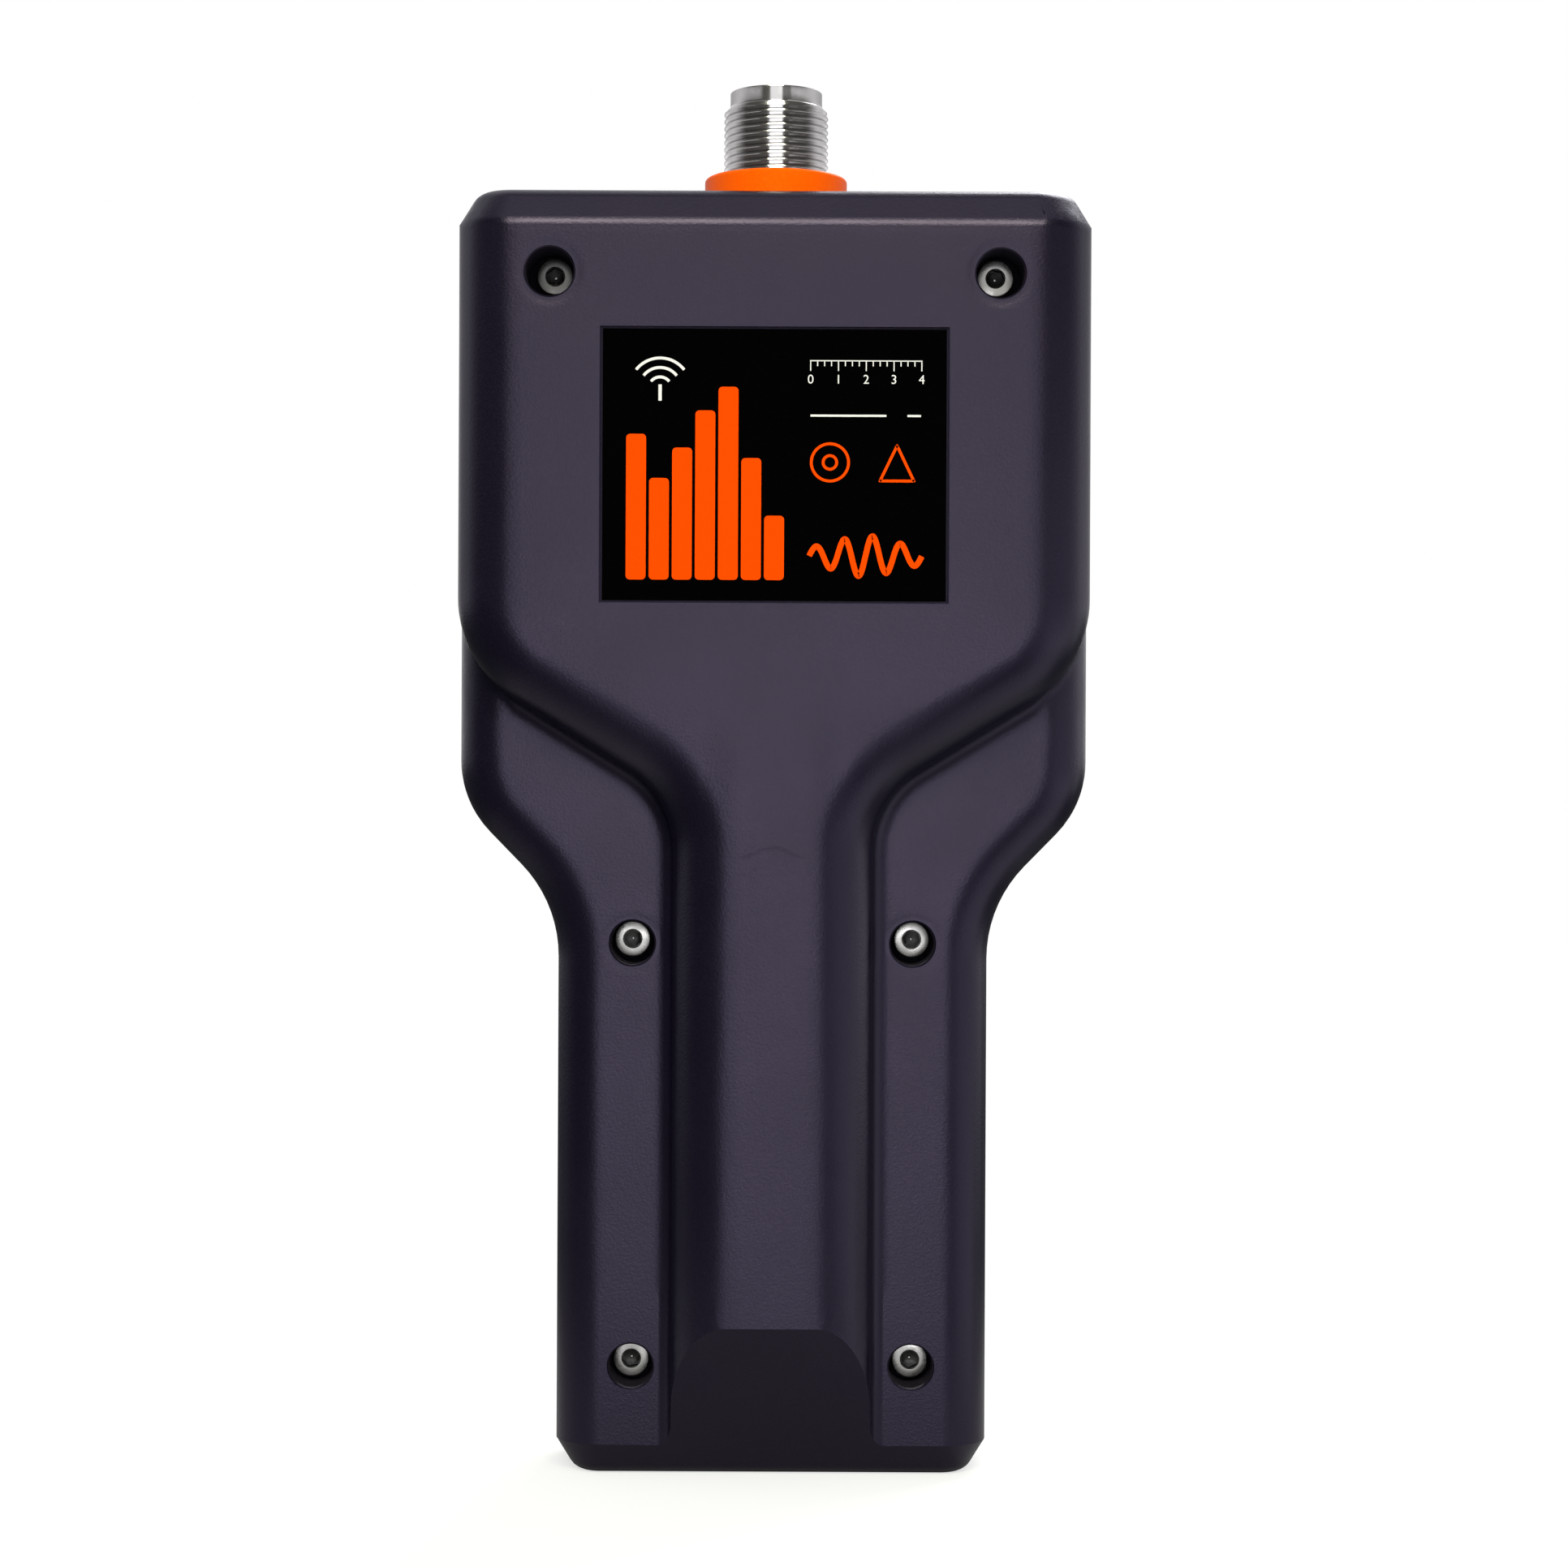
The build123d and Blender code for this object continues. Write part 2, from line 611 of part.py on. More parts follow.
with BuildPart() as front_cover:
    add(front_form)
    add(front_cavity, mode=Mode.SUBTRACT)
    # posts for the case screws and for the main board
    for places, top, radius in (
        (ALL_SCREWS, PARTING_Y, POST_RADIUS),
        (BOARD_SCREWS, BOARD_FRONT_Y, BOARD_POST_RADIUS),
    ):
        with BuildSketch(front_plane(top)):
            with Locations(*places):
                Circle(radius)
        extrude(amount=top - FACE_INSIDE_Y + FACE_WALL / 2)
    for places, top, radius, depth in (
        (ALL_SCREWS, PARTING_Y, INSERT_RADIUS, INSERT_LENGTH),
        (ALL_SCREWS, PARTING_Y, SCREW_HOLE_RADIUS, POST_BORE_DEPTH),
        (BOARD_SCREWS, BOARD_FRONT_Y, BOARD_SCREW_RADIUS + FIT, BOARD_SCREW_GRIP + BOARD_SCREW_GAP),
    ):
        with BuildSketch(front_plane(top)):
            with Locations(*places):
                Circle(radius)
        extrude(amount=depth, mode=Mode.SUBTRACT)
    # window pocket and display opening
    with BuildSketch(front_plane(FRONT_Y + WINDOW_THICKNESS + TAPE_THICKNESS)):
        with Locations((0, WINDOW_Z)):
            RectangleRounded(WINDOW_WIDTH, WINDOW_HEIGHT, WINDOW_CORNER)
    extrude(amount=WINDOW_THICKNESS + TAPE_THICKNESS, mode=Mode.SUBTRACT)
    with BuildSketch(front_plane(FACE_INSIDE_Y)):
        with Locations((0, WINDOW_Z)):
            Rectangle(OPENING_WIDTH, OPENING_HEIGHT)
    extrude(amount=FACE_WALL, mode=Mode.SUBTRACT)
    # key and status light openings
    with BuildSketch(front_plane(FACE_INSIDE_Y)):
        for key_name, place in KEYS.items():
            with Locations(place):
                key_shape(key_name, KEY_GAP)
        with Locations((LIGHT_X, POWER_KEY_Z)):
            Circle(LIGHT_RADIUS + LIGHT_GAP)
    extrude(amount=FACE_WALL, mode=Mode.SUBTRACT)
    # USB opening through the head's side
    with BuildSketch(Plane(origin=(USB_MOUTH_X - USB_INSET, 0, 0), x_dir=(0, 1, 0), z_dir=(1, 0, 0))):
        with Locations((USB_Y, USB_Z)):
            SlotOverall(USB_WIDTH + 2 * USB_GAP, USB_DEPTH + 2 * USB_GAP, rotation=90)
    extrude(amount=2 * USB_INSET, mode=Mode.SUBTRACT)
    with BuildSketch(level_plane(TOP_INSIDE_Z)):
        Circle(COLLAR_RADIUS + COLLAR_GAP)
    extrude(amount=END_WALL, mode=Mode.SUBTRACT)
    with BuildSketch(front_plane(PARTING_Y)):
        add(seal_shape(FIT))
    extrude(amount=SEAL_DEPTH, mode=Mode.SUBTRACT)
keep(front_cover, "front_cover")

with BuildPart() as case_seal:
    with BuildSketch(front_plane(PARTING_Y)):
        add(seal_shape(0))
    extrude(amount=SEAL_DEPTH)
    with BuildSketch(level_plane(TOP_INSIDE_Z)):
        Circle(COLLAR_RADIUS + 2 * COLLAR_GAP)
    extrude(amount=END_WALL, mode=Mode.SUBTRACT)
keep(case_seal, "case_seal")

with BuildPart() as boss_inserts:
    with BuildSketch(front_plane(PARTING_Y)):
        with Locations(*ALL_SCREWS):
            Circle(INSERT_RADIUS - FIT)
            Circle(INSERT_BORE, mode=Mode.SUBTRACT)
    extrude(amount=INSERT_LENGTH)
keep(boss_inserts, "boss_inserts")

for screw_name, places, floor, length in (
    ("top_case_screws", TOP_SCREWS, TOP_FLOOR_Y, TOP_SCREW_LENGTH),
    ("lower_case_screws", LOWER_SCREWS, LOWER_FLOOR_Y, LOWER_SCREW_LENGTH),
):
    with BuildPart() as case_screws:
        with BuildSketch(front_plane(floor + HEAD_HEIGHT)):
            with Locations(*places):
                Circle(HEAD_RADIUS)
        extrude(amount=HEAD_HEIGHT)
        chamfer(case_screws.edges().group_by(Axis.Y)[-1], HEAD_BEVEL)
        with BuildSketch(front_plane(floor)):
            with Locations(*places):
                Circle(SCREW_RADIUS)
        extrude(amount=length)
        with BuildSketch(front_plane(floor + HEAD_HEIGHT)):
            with Locations(*places):
                RegularPolygon(HEX_WIDTH / 2, 6, major_radius=False)
        extrude(amount=HEX_DEPTH, mode=Mode.SUBTRACT)
    keep(case_screws, screw_name)

with BuildPart() as rating_label:
    with BuildSketch(front_plane(BACK_Y - LABEL_RECESS + LABEL_THICKNESS)):
        with Locations((0, LABEL_Z)):
            Rectangle(LABEL_WIDTH, LABEL_HEIGHT)
    extrude(amount=LABEL_THICKNESS)
keep(rating_label, "rating_label")

# ---------------------------------------------------------------- coaxial socket

with BuildPart() as connector_carrier:
    with BuildSketch(level_plane(PLATE_BOTTOM_Z)):
        with Locations((0, (CARRIER_BACK - CARRIER_FRONT) / 2)):
            Rectangle(CARRIER_WIDTH, CARRIER_BACK + CARRIER_FRONT)
        Rectangle(2 * TOP_SCREW_X, ARM_DEPTH)
    extrude(amount=CARRIER_THICKNESS)
    with BuildSketch(front_plane(EAR_TOP_Y)):
        with Locations(*TOP_SCREWS):
            Circle(EAR_RADIUS)
    extrude(amount=EAR_TOP_Y - PARTING_Y)
    with BuildSketch(level_plane(PLATE_TOP_Z)):
        Circle(COLLAR_RADIUS)
    extrude(amount=COLLAR_TOP_Z - PLATE_TOP_Z)
    fillet(connector_carrier.edges().group_by(Axis.Z)[-1], COLLAR_ROUND)
    with BuildSketch(level_plane(PLATE_BOTTOM_Z)):
        Circle(THREAD_RADIUS + THREAD_GAP)
    extrude(amount=COLLAR_TOP_Z - PLATE_BOTTOM_Z, mode=Mode.SUBTRACT)
    with BuildSketch(level_plane(PLATE_BOTTOM_Z)):
        with Locations(*FLANGE_SCREWS):
            Circle(FLANGE_SCREW_RADIUS + FIT)
    extrude(amount=FLANGE_SCREW_GRIP + FLANGE_HOLE_GAP, mode=Mode.SUBTRACT)
    with BuildSketch(front_plane(EAR_TOP_Y)):
        with Locations(*TOP_SCREWS):
            Circle(SCREW_HOLE_RADIUS)
    extrude(amount=EAR_TOP_Y - PARTING_Y, mode=Mode.SUBTRACT)
keep(connector_carrier, "connector_carrier")

with BuildPart() as connector_shell:
    with BuildSketch(level_plane(THREAD_Z)):
        Circle(THREAD_RADIUS)
    extrude(amount=SOCKET_RIM_Z - PILOT_LENGTH - THREAD_Z)
    chamfer(connector_shell.edges().group_by(Axis.Z)[-1], THREAD_BEVEL)
    with BuildSketch(level_plane(THREAD_Z)):
        Circle(PILOT_RADIUS)
    extrude(amount=SOCKET_RIM_Z - THREAD_Z)
    chamfer(connector_shell.edges().group_by(Axis.Z)[-1], MOUTH_BEVEL)
    with BuildSketch(level_plane(PLATE_BOTTOM_Z)):
        Circle(NECK_RADIUS)
    extrude(amount=THREAD_Z - PLATE_BOTTOM_Z)
    with BuildSketch(level_plane(SOCKET_FLANGE_Z)):
        Rectangle(SOCKET_FLANGE, SOCKET_FLANGE)
        with Locations(*FLANGE_SCREWS):
            Circle(FLANGE_SCREW_RADIUS + FLANGE_HOLE_GAP, mode=Mode.SUBTRACT)
    extrude(amount=SOCKET_FLANGE_THICKNESS)
    with BuildSketch(level_plane(STUB_Z)):
        Circle(STUB_RADIUS)
    extrude(amount=STUB_LENGTH)
    with BuildSketch(level_plane(STUB_Z)):
        Circle(SOCKET_BORE)
    extrude(amount=SOCKET_RIM_Z - STUB_Z, mode=Mode.SUBTRACT)
    with BuildSketch(level_plane(SOCKET_RIM_Z - MOUTH_DEPTH)):
        Circle(MOUTH_RADIUS)
    extrude(amount=MOUTH_DEPTH, mode=Mode.SUBTRACT)
keep(connector_shell, "connector_shell")

with BuildPart() as connector_insulator:
    with BuildSketch(level_plane(STUB_Z)):
        Circle(SOCKET_BORE - FIT)
        Circle(CONTACT_RADIUS + FIT, mode=Mode.SUBTRACT)
    extrude(amount=SOCKET_RIM_Z - SOCKET_DEPTH - STUB_Z)
keep(connector_insulator, "connector_insulator")

with BuildPart() as connector_contact:
    tip_z = SOCKET_RIM_Z - CONTACT_INSET
    with BuildSketch(level_plane(STUB_Z)):
        Circle(CONTACT_RADIUS)
    extrude(amount=tip_z - STUB_Z)
    with BuildSketch(level_plane(tip_z)):
        Circle(CONTACT_BORE)
    extrude(amount=-CONTACT_BORE_DEPTH, mode=Mode.SUBTRACT)
    with BuildSketch(level_plane(tip_z)):
        Rectangle(2 * CONTACT_RADIUS, SLOT_WIDTH)
        Rectangle(SLOT_WIDTH, 2 * CONTACT_RADIUS)
    extrude(amount=-SLOT_DEPTH, mode=Mode.SUBTRACT)
keep(connector_contact, "connector_contact")

with BuildPart() as connector_screws:
    with BuildSketch(level_plane(SOCKET_FLANGE_Z - FLANGE_HEAD_HEIGHT)):
        with Locations(*FLANGE_SCREWS):
            Circle(FLANGE_HEAD_RADIUS)
    extrude(amount=FLANGE_HEAD_HEIGHT)
    with BuildSketch(level_plane(SOCKET_FLANGE_Z)):
        with Locations(*FLANGE_SCREWS):
            Circle(FLANGE_SCREW_RADIUS)
    extrude(amount=SOCKET_FLANGE_THICKNESS + FLANGE_SCREW_GRIP)
keep(connector_screws, "connector_screws")

with BuildPart() as coax_ferrule:
    with BuildSketch(level_plane(STUB_Z - FERRULE_LENGTH)):
        Circle(FERRULE_RADIUS)
        Circle(COAX_RADIUS + FIT, mode=Mode.SUBTRACT)
    extrude(amount=FERRULE_LENGTH)
keep(coax_ferrule, "coax_ferrule")

# The inner coaxial lead steps from the socket's axis down to the plug on the board
COAX_ROUTE = [
    (0, 0, STUB_Z),
    (0, 0, STUB_Z - COAX_EXIT),
    (0, BOARD_BACK_Y + COAX_OFFSET, PLUG_TOP_Z + COAX_ENTRY),
    (0, BOARD_BACK_Y + COAX_OFFSET, PLUG_TOP_Z),
]


def bend_radius(before, corner, after):
    """Largest easy bend at a corner of a route: 0.45 of its shorter run over the half-turn's tangent."""
    run_in = Vector(corner) - Vector(before)
    run_out = Vector(after) - Vector(corner)
    half_turn = radians(run_in.get_angle(run_out)) / 2
    return 0.45 * min(run_in.length, run_out.length) / tan(half_turn)


with BuildPart() as coax_lead:
    with BuildLine() as lead_path:
        FilletPolyline(
            *COAX_ROUTE, radius=[bend_radius(*COAX_ROUTE[start : start + 3]) for start in range(2)]
        )
    with BuildSketch(level_plane(STUB_Z)):
        Circle(COAX_RADIUS)
    sweep(path=lead_path.wires()[0])
keep(coax_lead, "coax_lead")

with BuildPart() as coax_plug:
    with BuildSketch(front_plane(BOARD_BACK_Y + PLUG_DEPTH)):
        with Locations((0, (PLUG_TOP_Z + PLUG_BOTTOM_Z) / 2)):
            Rectangle(PLUG_WIDTH, PLUG_HEIGHT)
    extrude(amount=PLUG_DEPTH)
keep(coax_plug, "coax_plug")

# ---------------------------------------------------------------- display

with BuildPart() as display_window:
    with BuildSketch(front_plane(FRONT_Y + WINDOW_THICKNESS)):
        with Locations((0, WINDOW_Z)):
            RectangleRounded(
                WINDOW_WIDTH - 2 * WINDOW_CLEARANCE,
                WINDOW_HEIGHT - 2 * WINDOW_CLEARANCE,
                WINDOW_CORNER - WINDOW_CLEARANCE,
            )
    extrude(amount=WINDOW_THICKNESS)
keep(display_window, "display_window")

with BuildPart() as window_tape:
    with BuildSketch(front_plane(FRONT_Y + WINDOW_THICKNESS + TAPE_THICKNESS)):
        with Locations((0, WINDOW_Z)):
            RectangleRounded(WINDOW_WIDTH - 2 * TAPE_GAP, WINDOW_HEIGHT - 2 * TAPE_GAP, WINDOW_CORNER)
            Rectangle(OPENING_WIDTH + 2 * TAPE_GAP, OPENING_HEIGHT + 2 * TAPE_GAP, mode=Mode.SUBTRACT)
    extrude(amount=TAPE_THICKNESS)
keep(window_tape, "window_tape")

with BuildPart() as lcd_module:
    with BuildSketch(front_plane(LCD_BACK_Y)):
        with Locations((0, WINDOW_Z)):
            Rectangle(LCD_WIDTH, LCD_HEIGHT)
    extrude(amount=LCD_THICKNESS)
keep(lcd_module, "lcd_module")

with BuildPart() as lcd_pads:
    pad_x = LCD_WIDTH / 2 - LCD_PAD_INSET - LCD_PAD_WIDTH / 2
    with BuildSketch(front_plane(BOARD_FRONT_Y)):
        with Locations((-pad_x, WINDOW_Z), (pad_x, WINDOW_Z)):
            Rectangle(LCD_PAD_WIDTH, LCD_PAD_LENGTH)
    extrude(amount=BOARD_FRONT_Y - LCD_BACK_Y)
keep(lcd_pads, "lcd_pads")

with BuildPart() as flex_socket:
    with BuildSketch(front_plane(BOARD_FRONT_Y)):
        with Locations((0, FLEX_PLUG_Z)):
            Rectangle(FLEX_WIDTH + FLEX_PLUG_HEIGHT, FLEX_PLUG_HEIGHT)
    extrude(amount=FLEX_PLUG_THICKNESS)
keep(flex_socket, "flex_socket")

with BuildPart() as display_flex:
    flex_y = BOARD_FRONT_Y - FLEX_PLUG_THICKNESS - FLEX_THICKNESS / 2
    with BuildSketch(Plane(origin=(-FLEX_WIDTH / 2, 0, 0), x_dir=(0, 1, 0), z_dir=(1, 0, 0))):
        with BuildLine() as ribbon:
            Polyline(
                (flex_y, FLEX_PLUG_Z - FLEX_PLUG_HEIGHT / 2 + FLEX_THICKNESS),
                (flex_y, FLEX_PLUG_Z + FLEX_PLUG_HEIGHT / 2),
                ((LCD_FRONT_Y + LCD_BACK_Y) / 2, LCD_BOTTOM_Z - FLEX_THICKNESS),
            )
        trace(ribbon.line, line_width=FLEX_THICKNESS)
    extrude(amount=FLEX_WIDTH)
keep(display_flex, "display_flex")

# ---------------------------------------------------------------- main board

with BuildPart() as main_board:
    with BuildSketch(front_plane(BOARD_BACK_Y)):
        add(flat_outline(WALL + BOARD_GAP, BOARD_BOTTOM_Z, BOARD_TOP_Z))
        with Locations(*ALL_SCREWS):
            Circle(POST_RADIUS + BOARD_HOLE_GAP, mode=Mode.SUBTRACT)
        with Locations(*BOARD_SCREWS):
            Circle(BOARD_SCREW_RADIUS + BOARD_SCREW_GAP, mode=Mode.SUBTRACT)
        with Locations((0, BOARD_TOP_Z)):
            Rectangle(BOARD_NOTCH_WIDTH, 2 * BOARD_NOTCH_DEPTH, mode=Mode.SUBTRACT)
        with Locations((USB_MOUTH_X, USB_Z)):
            Rectangle(2 * USB_LENGTH + FIT, USB_WIDTH + FIT, mode=Mode.SUBTRACT)
    extrude(amount=BOARD_THICKNESS)
keep(main_board, "main_board")

with BuildPart() as board_screws:
    with BuildSketch(front_plane(BOARD_BACK_Y + BOARD_SCREW_HEAD_HEIGHT)):
        with Locations(*BOARD_SCREWS):
            Circle(BOARD_SCREW_HEAD)
    extrude(amount=BOARD_SCREW_HEAD_HEIGHT)
    with BuildSketch(front_plane(BOARD_BACK_Y)):
        with Locations(*BOARD_SCREWS):
            Circle(BOARD_SCREW_RADIUS)
    extrude(amount=BOARD_THICKNESS + BOARD_SCREW_GRIP)
keep(board_screws, "board_screws")

with BuildPart() as rf_shield:
    with BuildSketch(front_plane(BOARD_BACK_Y + SHIELD_DEPTH)):
        with Locations((0, SHIELD_Z)):
            Rectangle(SHIELD_WIDTH, SHIELD_HEIGHT)
    extrude(amount=SHIELD_DEPTH)
    open_side = rf_shield.faces().sort_by(Axis.Y)[0]
    offset(amount=-SHIELD_SHEET, openings=open_side)
keep(rf_shield, "rf_shield")

with BuildPart() as board_chips:
    for side, inset, rise, width, height, thickness in CHIPS.values():
        with BuildSketch(front_plane(BOARD_BACK_Y + thickness)):
            with Locations((side * (HEAD_WIDTH / 2 - inset), WINDOW_Z + rise)):
                Rectangle(width, height)
        extrude(amount=thickness)
keep(board_chips, "board_chips")

with BuildPart() as buzzer:
    with BuildSketch(front_plane(BOARD_BACK_Y + BUZZER_DEPTH)):
        with Locations((HEAD_WIDTH / 2 - BUZZER_INSET, WINDOW_Z + BUZZER_RISE)):
            Circle(BUZZER_RADIUS)
    extrude(amount=BUZZER_DEPTH)
keep(buzzer, "buzzer")

with BuildPart() as usb_socket:
    mouth = Plane(origin=(USB_MOUTH_X, 0, 0), x_dir=(0, 1, 0), z_dir=(1, 0, 0))
    with BuildSketch(mouth):
        with Locations((USB_Y, USB_Z)):
            SlotOverall(USB_WIDTH, USB_DEPTH, rotation=90)
    extrude(amount=-USB_LENGTH)
    with BuildSketch(mouth):
        with Locations((USB_Y, USB_Z)):
            SlotOverall(USB_WIDTH - 2 * USB_SHEET, USB_DEPTH - 2 * USB_SHEET, rotation=90)
    extrude(amount=-USB_CAVITY, mode=Mode.SUBTRACT)
    with BuildSketch(mouth.offset(-USB_LENGTH)):
        with Locations((USB_Y, USB_Z)):
            Rectangle(USB_TONGUE, USB_TONGUE_WIDTH)
    extrude(amount=USB_LENGTH - USB_CAVITY + USB_TONGUE_LENGTH)
keep(usb_socket, "usb_socket")

with BuildPart() as status_light:
    with BuildSketch(front_plane(BOARD_FRONT_Y)):
        with Locations((LIGHT_X, POWER_KEY_Z)):
            Circle(LIGHT_RADIUS)
    extrude(amount=BOARD_FRONT_Y - FRONT_Y)
    with BuildSketch(front_plane(FACE_INSIDE_Y + LIGHT_RIM_THICKNESS)):
        with Locations((LIGHT_X, POWER_KEY_Z)):
            Circle(LIGHT_RADIUS + LIGHT_RIM)
    extrude(amount=LIGHT_RIM_THICKNESS)
keep(status_light, "status_light")

# ---------------------------------------------------------------- keys

with BuildPart() as keypad_mat:
    mat_top = NAV_Z + KEY_PITCH_Z + KEY_HEIGHT / 2 + KEY_RIM
    with BuildSketch(front_plane(BOARD_FRONT_Y)):
        add(flat_outline(WALL + BOARD_GAP, END_WALL + MAT_END_GAP, mat_top))
        with Locations(*KEYS.values()):
            Circle(DOME_RADIUS + MAT_HOLE_GAP, mode=Mode.SUBTRACT)
        with Locations(*LOWER_SCREWS):
            Circle(POST_RADIUS + MAT_HOLE_GAP, mode=Mode.SUBTRACT)
        with Locations(*BOARD_SCREWS):
            Circle(BOARD_POST_RADIUS + MAT_HOLE_GAP, mode=Mode.SUBTRACT)
        with Locations((LIGHT_X, POWER_KEY_Z)):
            Circle(LIGHT_RADIUS + MAT_HOLE_GAP, mode=Mode.SUBTRACT)
    extrude(amount=MAT_THICKNESS)
keep(keypad_mat, "keypad_mat")

with BuildPart() as key_domes:
    with BuildSketch(front_plane(BOARD_FRONT_Y)):
        with Locations(*KEYS.values()):
            Circle(DOME_RADIUS)
    extrude(amount=DOME_THICKNESS)
keep(key_domes, "key_domes")

for key_name, place in KEYS.items():
    with BuildPart() as key:
        with BuildSketch(front_plane(RIM_BACK_Y)):
            with Locations(place):
                key_shape(key_name, 0)
        extrude(amount=RIM_BACK_Y - KEY_TOP_Y)
        fillet(key.edges().group_by(Axis.Y)[0], KEY_ROUND)
        with BuildSketch(front_plane(RIM_BACK_Y)):
            with Locations(place):
                key_shape(key_name, KEY_GAP + KEY_RIM)
        extrude(amount=KEY_RIM_THICKNESS)
        with BuildSketch(front_plane(RIM_BACK_Y + PILL_LENGTH)):
            with Locations(place):
                Circle(PILL_RADIUS)
        extrude(amount=PILL_LENGTH)
    keep(key, key_name)

# ---------------------------------------------------------------- battery

with BuildPart() as battery_cell:
    with BuildSketch(level_plane(CELL_Z)):
        with Locations((0, CELL_Y)):
            Circle(CELL_RADIUS)
    extrude(amount=CELL_LENGTH - CELL_NUB_LENGTH)
    with BuildSketch(level_plane(CELL_TOP_Z - CELL_NUB_LENGTH)):
        with Locations((0, CELL_Y)):
            Circle(CELL_NUB_RADIUS)
    extrude(amount=CELL_NUB_LENGTH)
keep(battery_cell, "battery_cell")

with BuildPart() as battery_holder:
    room_length = CELL_LENGTH + 2 * CONTACT_STACK
    holder_length = room_length + 2 * HOLDER_END_WALL
    with BuildSketch(front_plane(HOLDER_RISE)):
        with Locations((0, CELL_MIDDLE_Z)):
            Rectangle(HOLDER_WIDTH, holder_length)
    extrude(amount=HOLDER_RISE - BOARD_BACK_Y)
    with BuildSketch(front_plane(HOLDER_END_RISE)):
        with Locations((0, CELL_MIDDLE_Z)):
            Rectangle(HOLDER_WIDTH, holder_length)
            Rectangle(HOLDER_WIDTH, room_length, mode=Mode.SUBTRACT)
    extrude(amount=HOLDER_END_RISE - HOLDER_RISE)
    with BuildSketch(level_plane(CELL_Z - CONTACT_STACK)):
        with Locations((0, CELL_Y)):
            Circle(CELL_RADIUS + HOLDER_GAP)
    extrude(amount=room_length, mode=Mode.SUBTRACT)
keep(battery_holder, "battery_holder")

with BuildPart() as battery_contacts:
    for end_z, inward in ((CELL_Z - CONTACT_STACK, 1), (CELL_TOP_Z + CONTACT_STACK, -1)):
        with BuildSketch(level_plane(end_z)):
            with Locations((0, CELL_Y)):
                Rectangle(CONTACT_PLATE_WIDTH, CONTACT_PLATE_WIDTH)
        extrude(amount=inward * CONTACT_PLATE)
        with BuildSketch(level_plane(end_z + inward * CONTACT_PLATE)):
            with Locations((0, CELL_Y)):
                Circle(CONTACT_BUMP_RADIUS)
        extrude(amount=inward * CONTACT_BUMP)
keep(battery_contacts, "battery_contacts")

with BuildPart() as battery_pad:
    with BuildSketch(front_plane(BACK_INSIDE_Y)):
        with Locations((0, CELL_MIDDLE_Z)):
            Rectangle(BATTERY_PAD_WIDTH, BATTERY_PAD_LENGTH)
    extrude(amount=PAD_THICKNESS)
keep(battery_pad, "battery_pad")
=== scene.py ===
"""Looks of a hand-held antenna and cable analyzer, built around its CAD solids.

The CAD frame holds: +Z up the case, +Y out of its back, -Y out of its display, lengths in metres.
Sizes in this file are in millimetres, and each class turns them into metres where it builds.
"""

import logging
import math
from collections.abc import Callable, Iterable, Iterator, Sequence
from contextlib import contextmanager
from dataclasses import dataclass, field
from enum import Enum
from functools import cached_property, partial, reduce

import bpy
from mathutils import Euler, Matrix, Vector


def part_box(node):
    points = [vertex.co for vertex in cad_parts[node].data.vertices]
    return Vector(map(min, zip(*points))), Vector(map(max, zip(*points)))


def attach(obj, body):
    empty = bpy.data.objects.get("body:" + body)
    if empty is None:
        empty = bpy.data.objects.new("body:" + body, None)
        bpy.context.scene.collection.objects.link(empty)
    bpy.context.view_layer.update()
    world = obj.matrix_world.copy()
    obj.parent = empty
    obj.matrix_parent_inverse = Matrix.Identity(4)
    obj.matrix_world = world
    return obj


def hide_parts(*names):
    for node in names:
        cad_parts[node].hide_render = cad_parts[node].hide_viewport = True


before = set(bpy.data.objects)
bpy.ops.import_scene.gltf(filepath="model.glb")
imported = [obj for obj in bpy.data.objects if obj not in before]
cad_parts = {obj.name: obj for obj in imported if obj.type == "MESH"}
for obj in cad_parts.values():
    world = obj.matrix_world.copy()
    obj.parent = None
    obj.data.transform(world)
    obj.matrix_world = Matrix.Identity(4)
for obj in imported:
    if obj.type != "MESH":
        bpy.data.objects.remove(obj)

LOG = logging.getLogger("analyzer")
MM = 0.001
Object = bpy.types.Object
Node = bpy.types.Node
Socket = bpy.types.NodeSocket
Value = Socket | float
Triple = tuple[float, float, float]
Colour = Triple
Point = tuple[float, float]


# ------------------------------------------------------------------ modelling helpers


def activate(piece: Object) -> None:
    """Select one object alone and make it the active one."""
    bpy.ops.object.select_all(action="DESELECT")
    piece.select_set(True)
    bpy.context.view_layer.objects.active = piece


@contextmanager
def edit_mode(piece: Object, domain: str = "VERT", whole: bool = False) -> Iterator[None]:
    """Work on a piece in edit mode.

    Args:
        piece: The mesh object to edit.
        domain: VERT, EDGE or FACE, the kind of element that selections mean.
        whole: Whether all of it is selected first.
    """
    activate(piece)
    bpy.context.tool_settings.mesh_select_mode = tuple(domain == kind for kind in ("VERT", "EDGE", "FACE"))
    bpy.ops.object.mode_set(mode="EDIT")
    if whole:
        bpy.ops.mesh.select_all(action="SELECT")
    yield
    bpy.ops.object.mode_set(mode="OBJECT")


def pick(piece: Object, test: Callable[[bpy.types.MeshVertex], bool]) -> None:
    """Select the vertices of a piece that pass a test, and nothing else."""
    mesh = piece.data
    for elements in (mesh.vertices, mesh.edges, mesh.polygons):
        elements.foreach_set("select", [False] * len(elements))
    for vertex in mesh.vertices:
        vertex.select = test(vertex)


def new_primitive(kind: str, **settings: object) -> Object:
    """Add a mesh primitive with nothing else selected.

    Args:
        kind: Last part of the operator's name, such as "plane".
        settings: What the operator takes, in metres.

    Returns:
        The new object.
    """
    bpy.ops.object.select_all(action="DESELECT")
    getattr(bpy.ops.mesh, f"primitive_{kind}_add")(**settings)
    return bpy.context.active_object


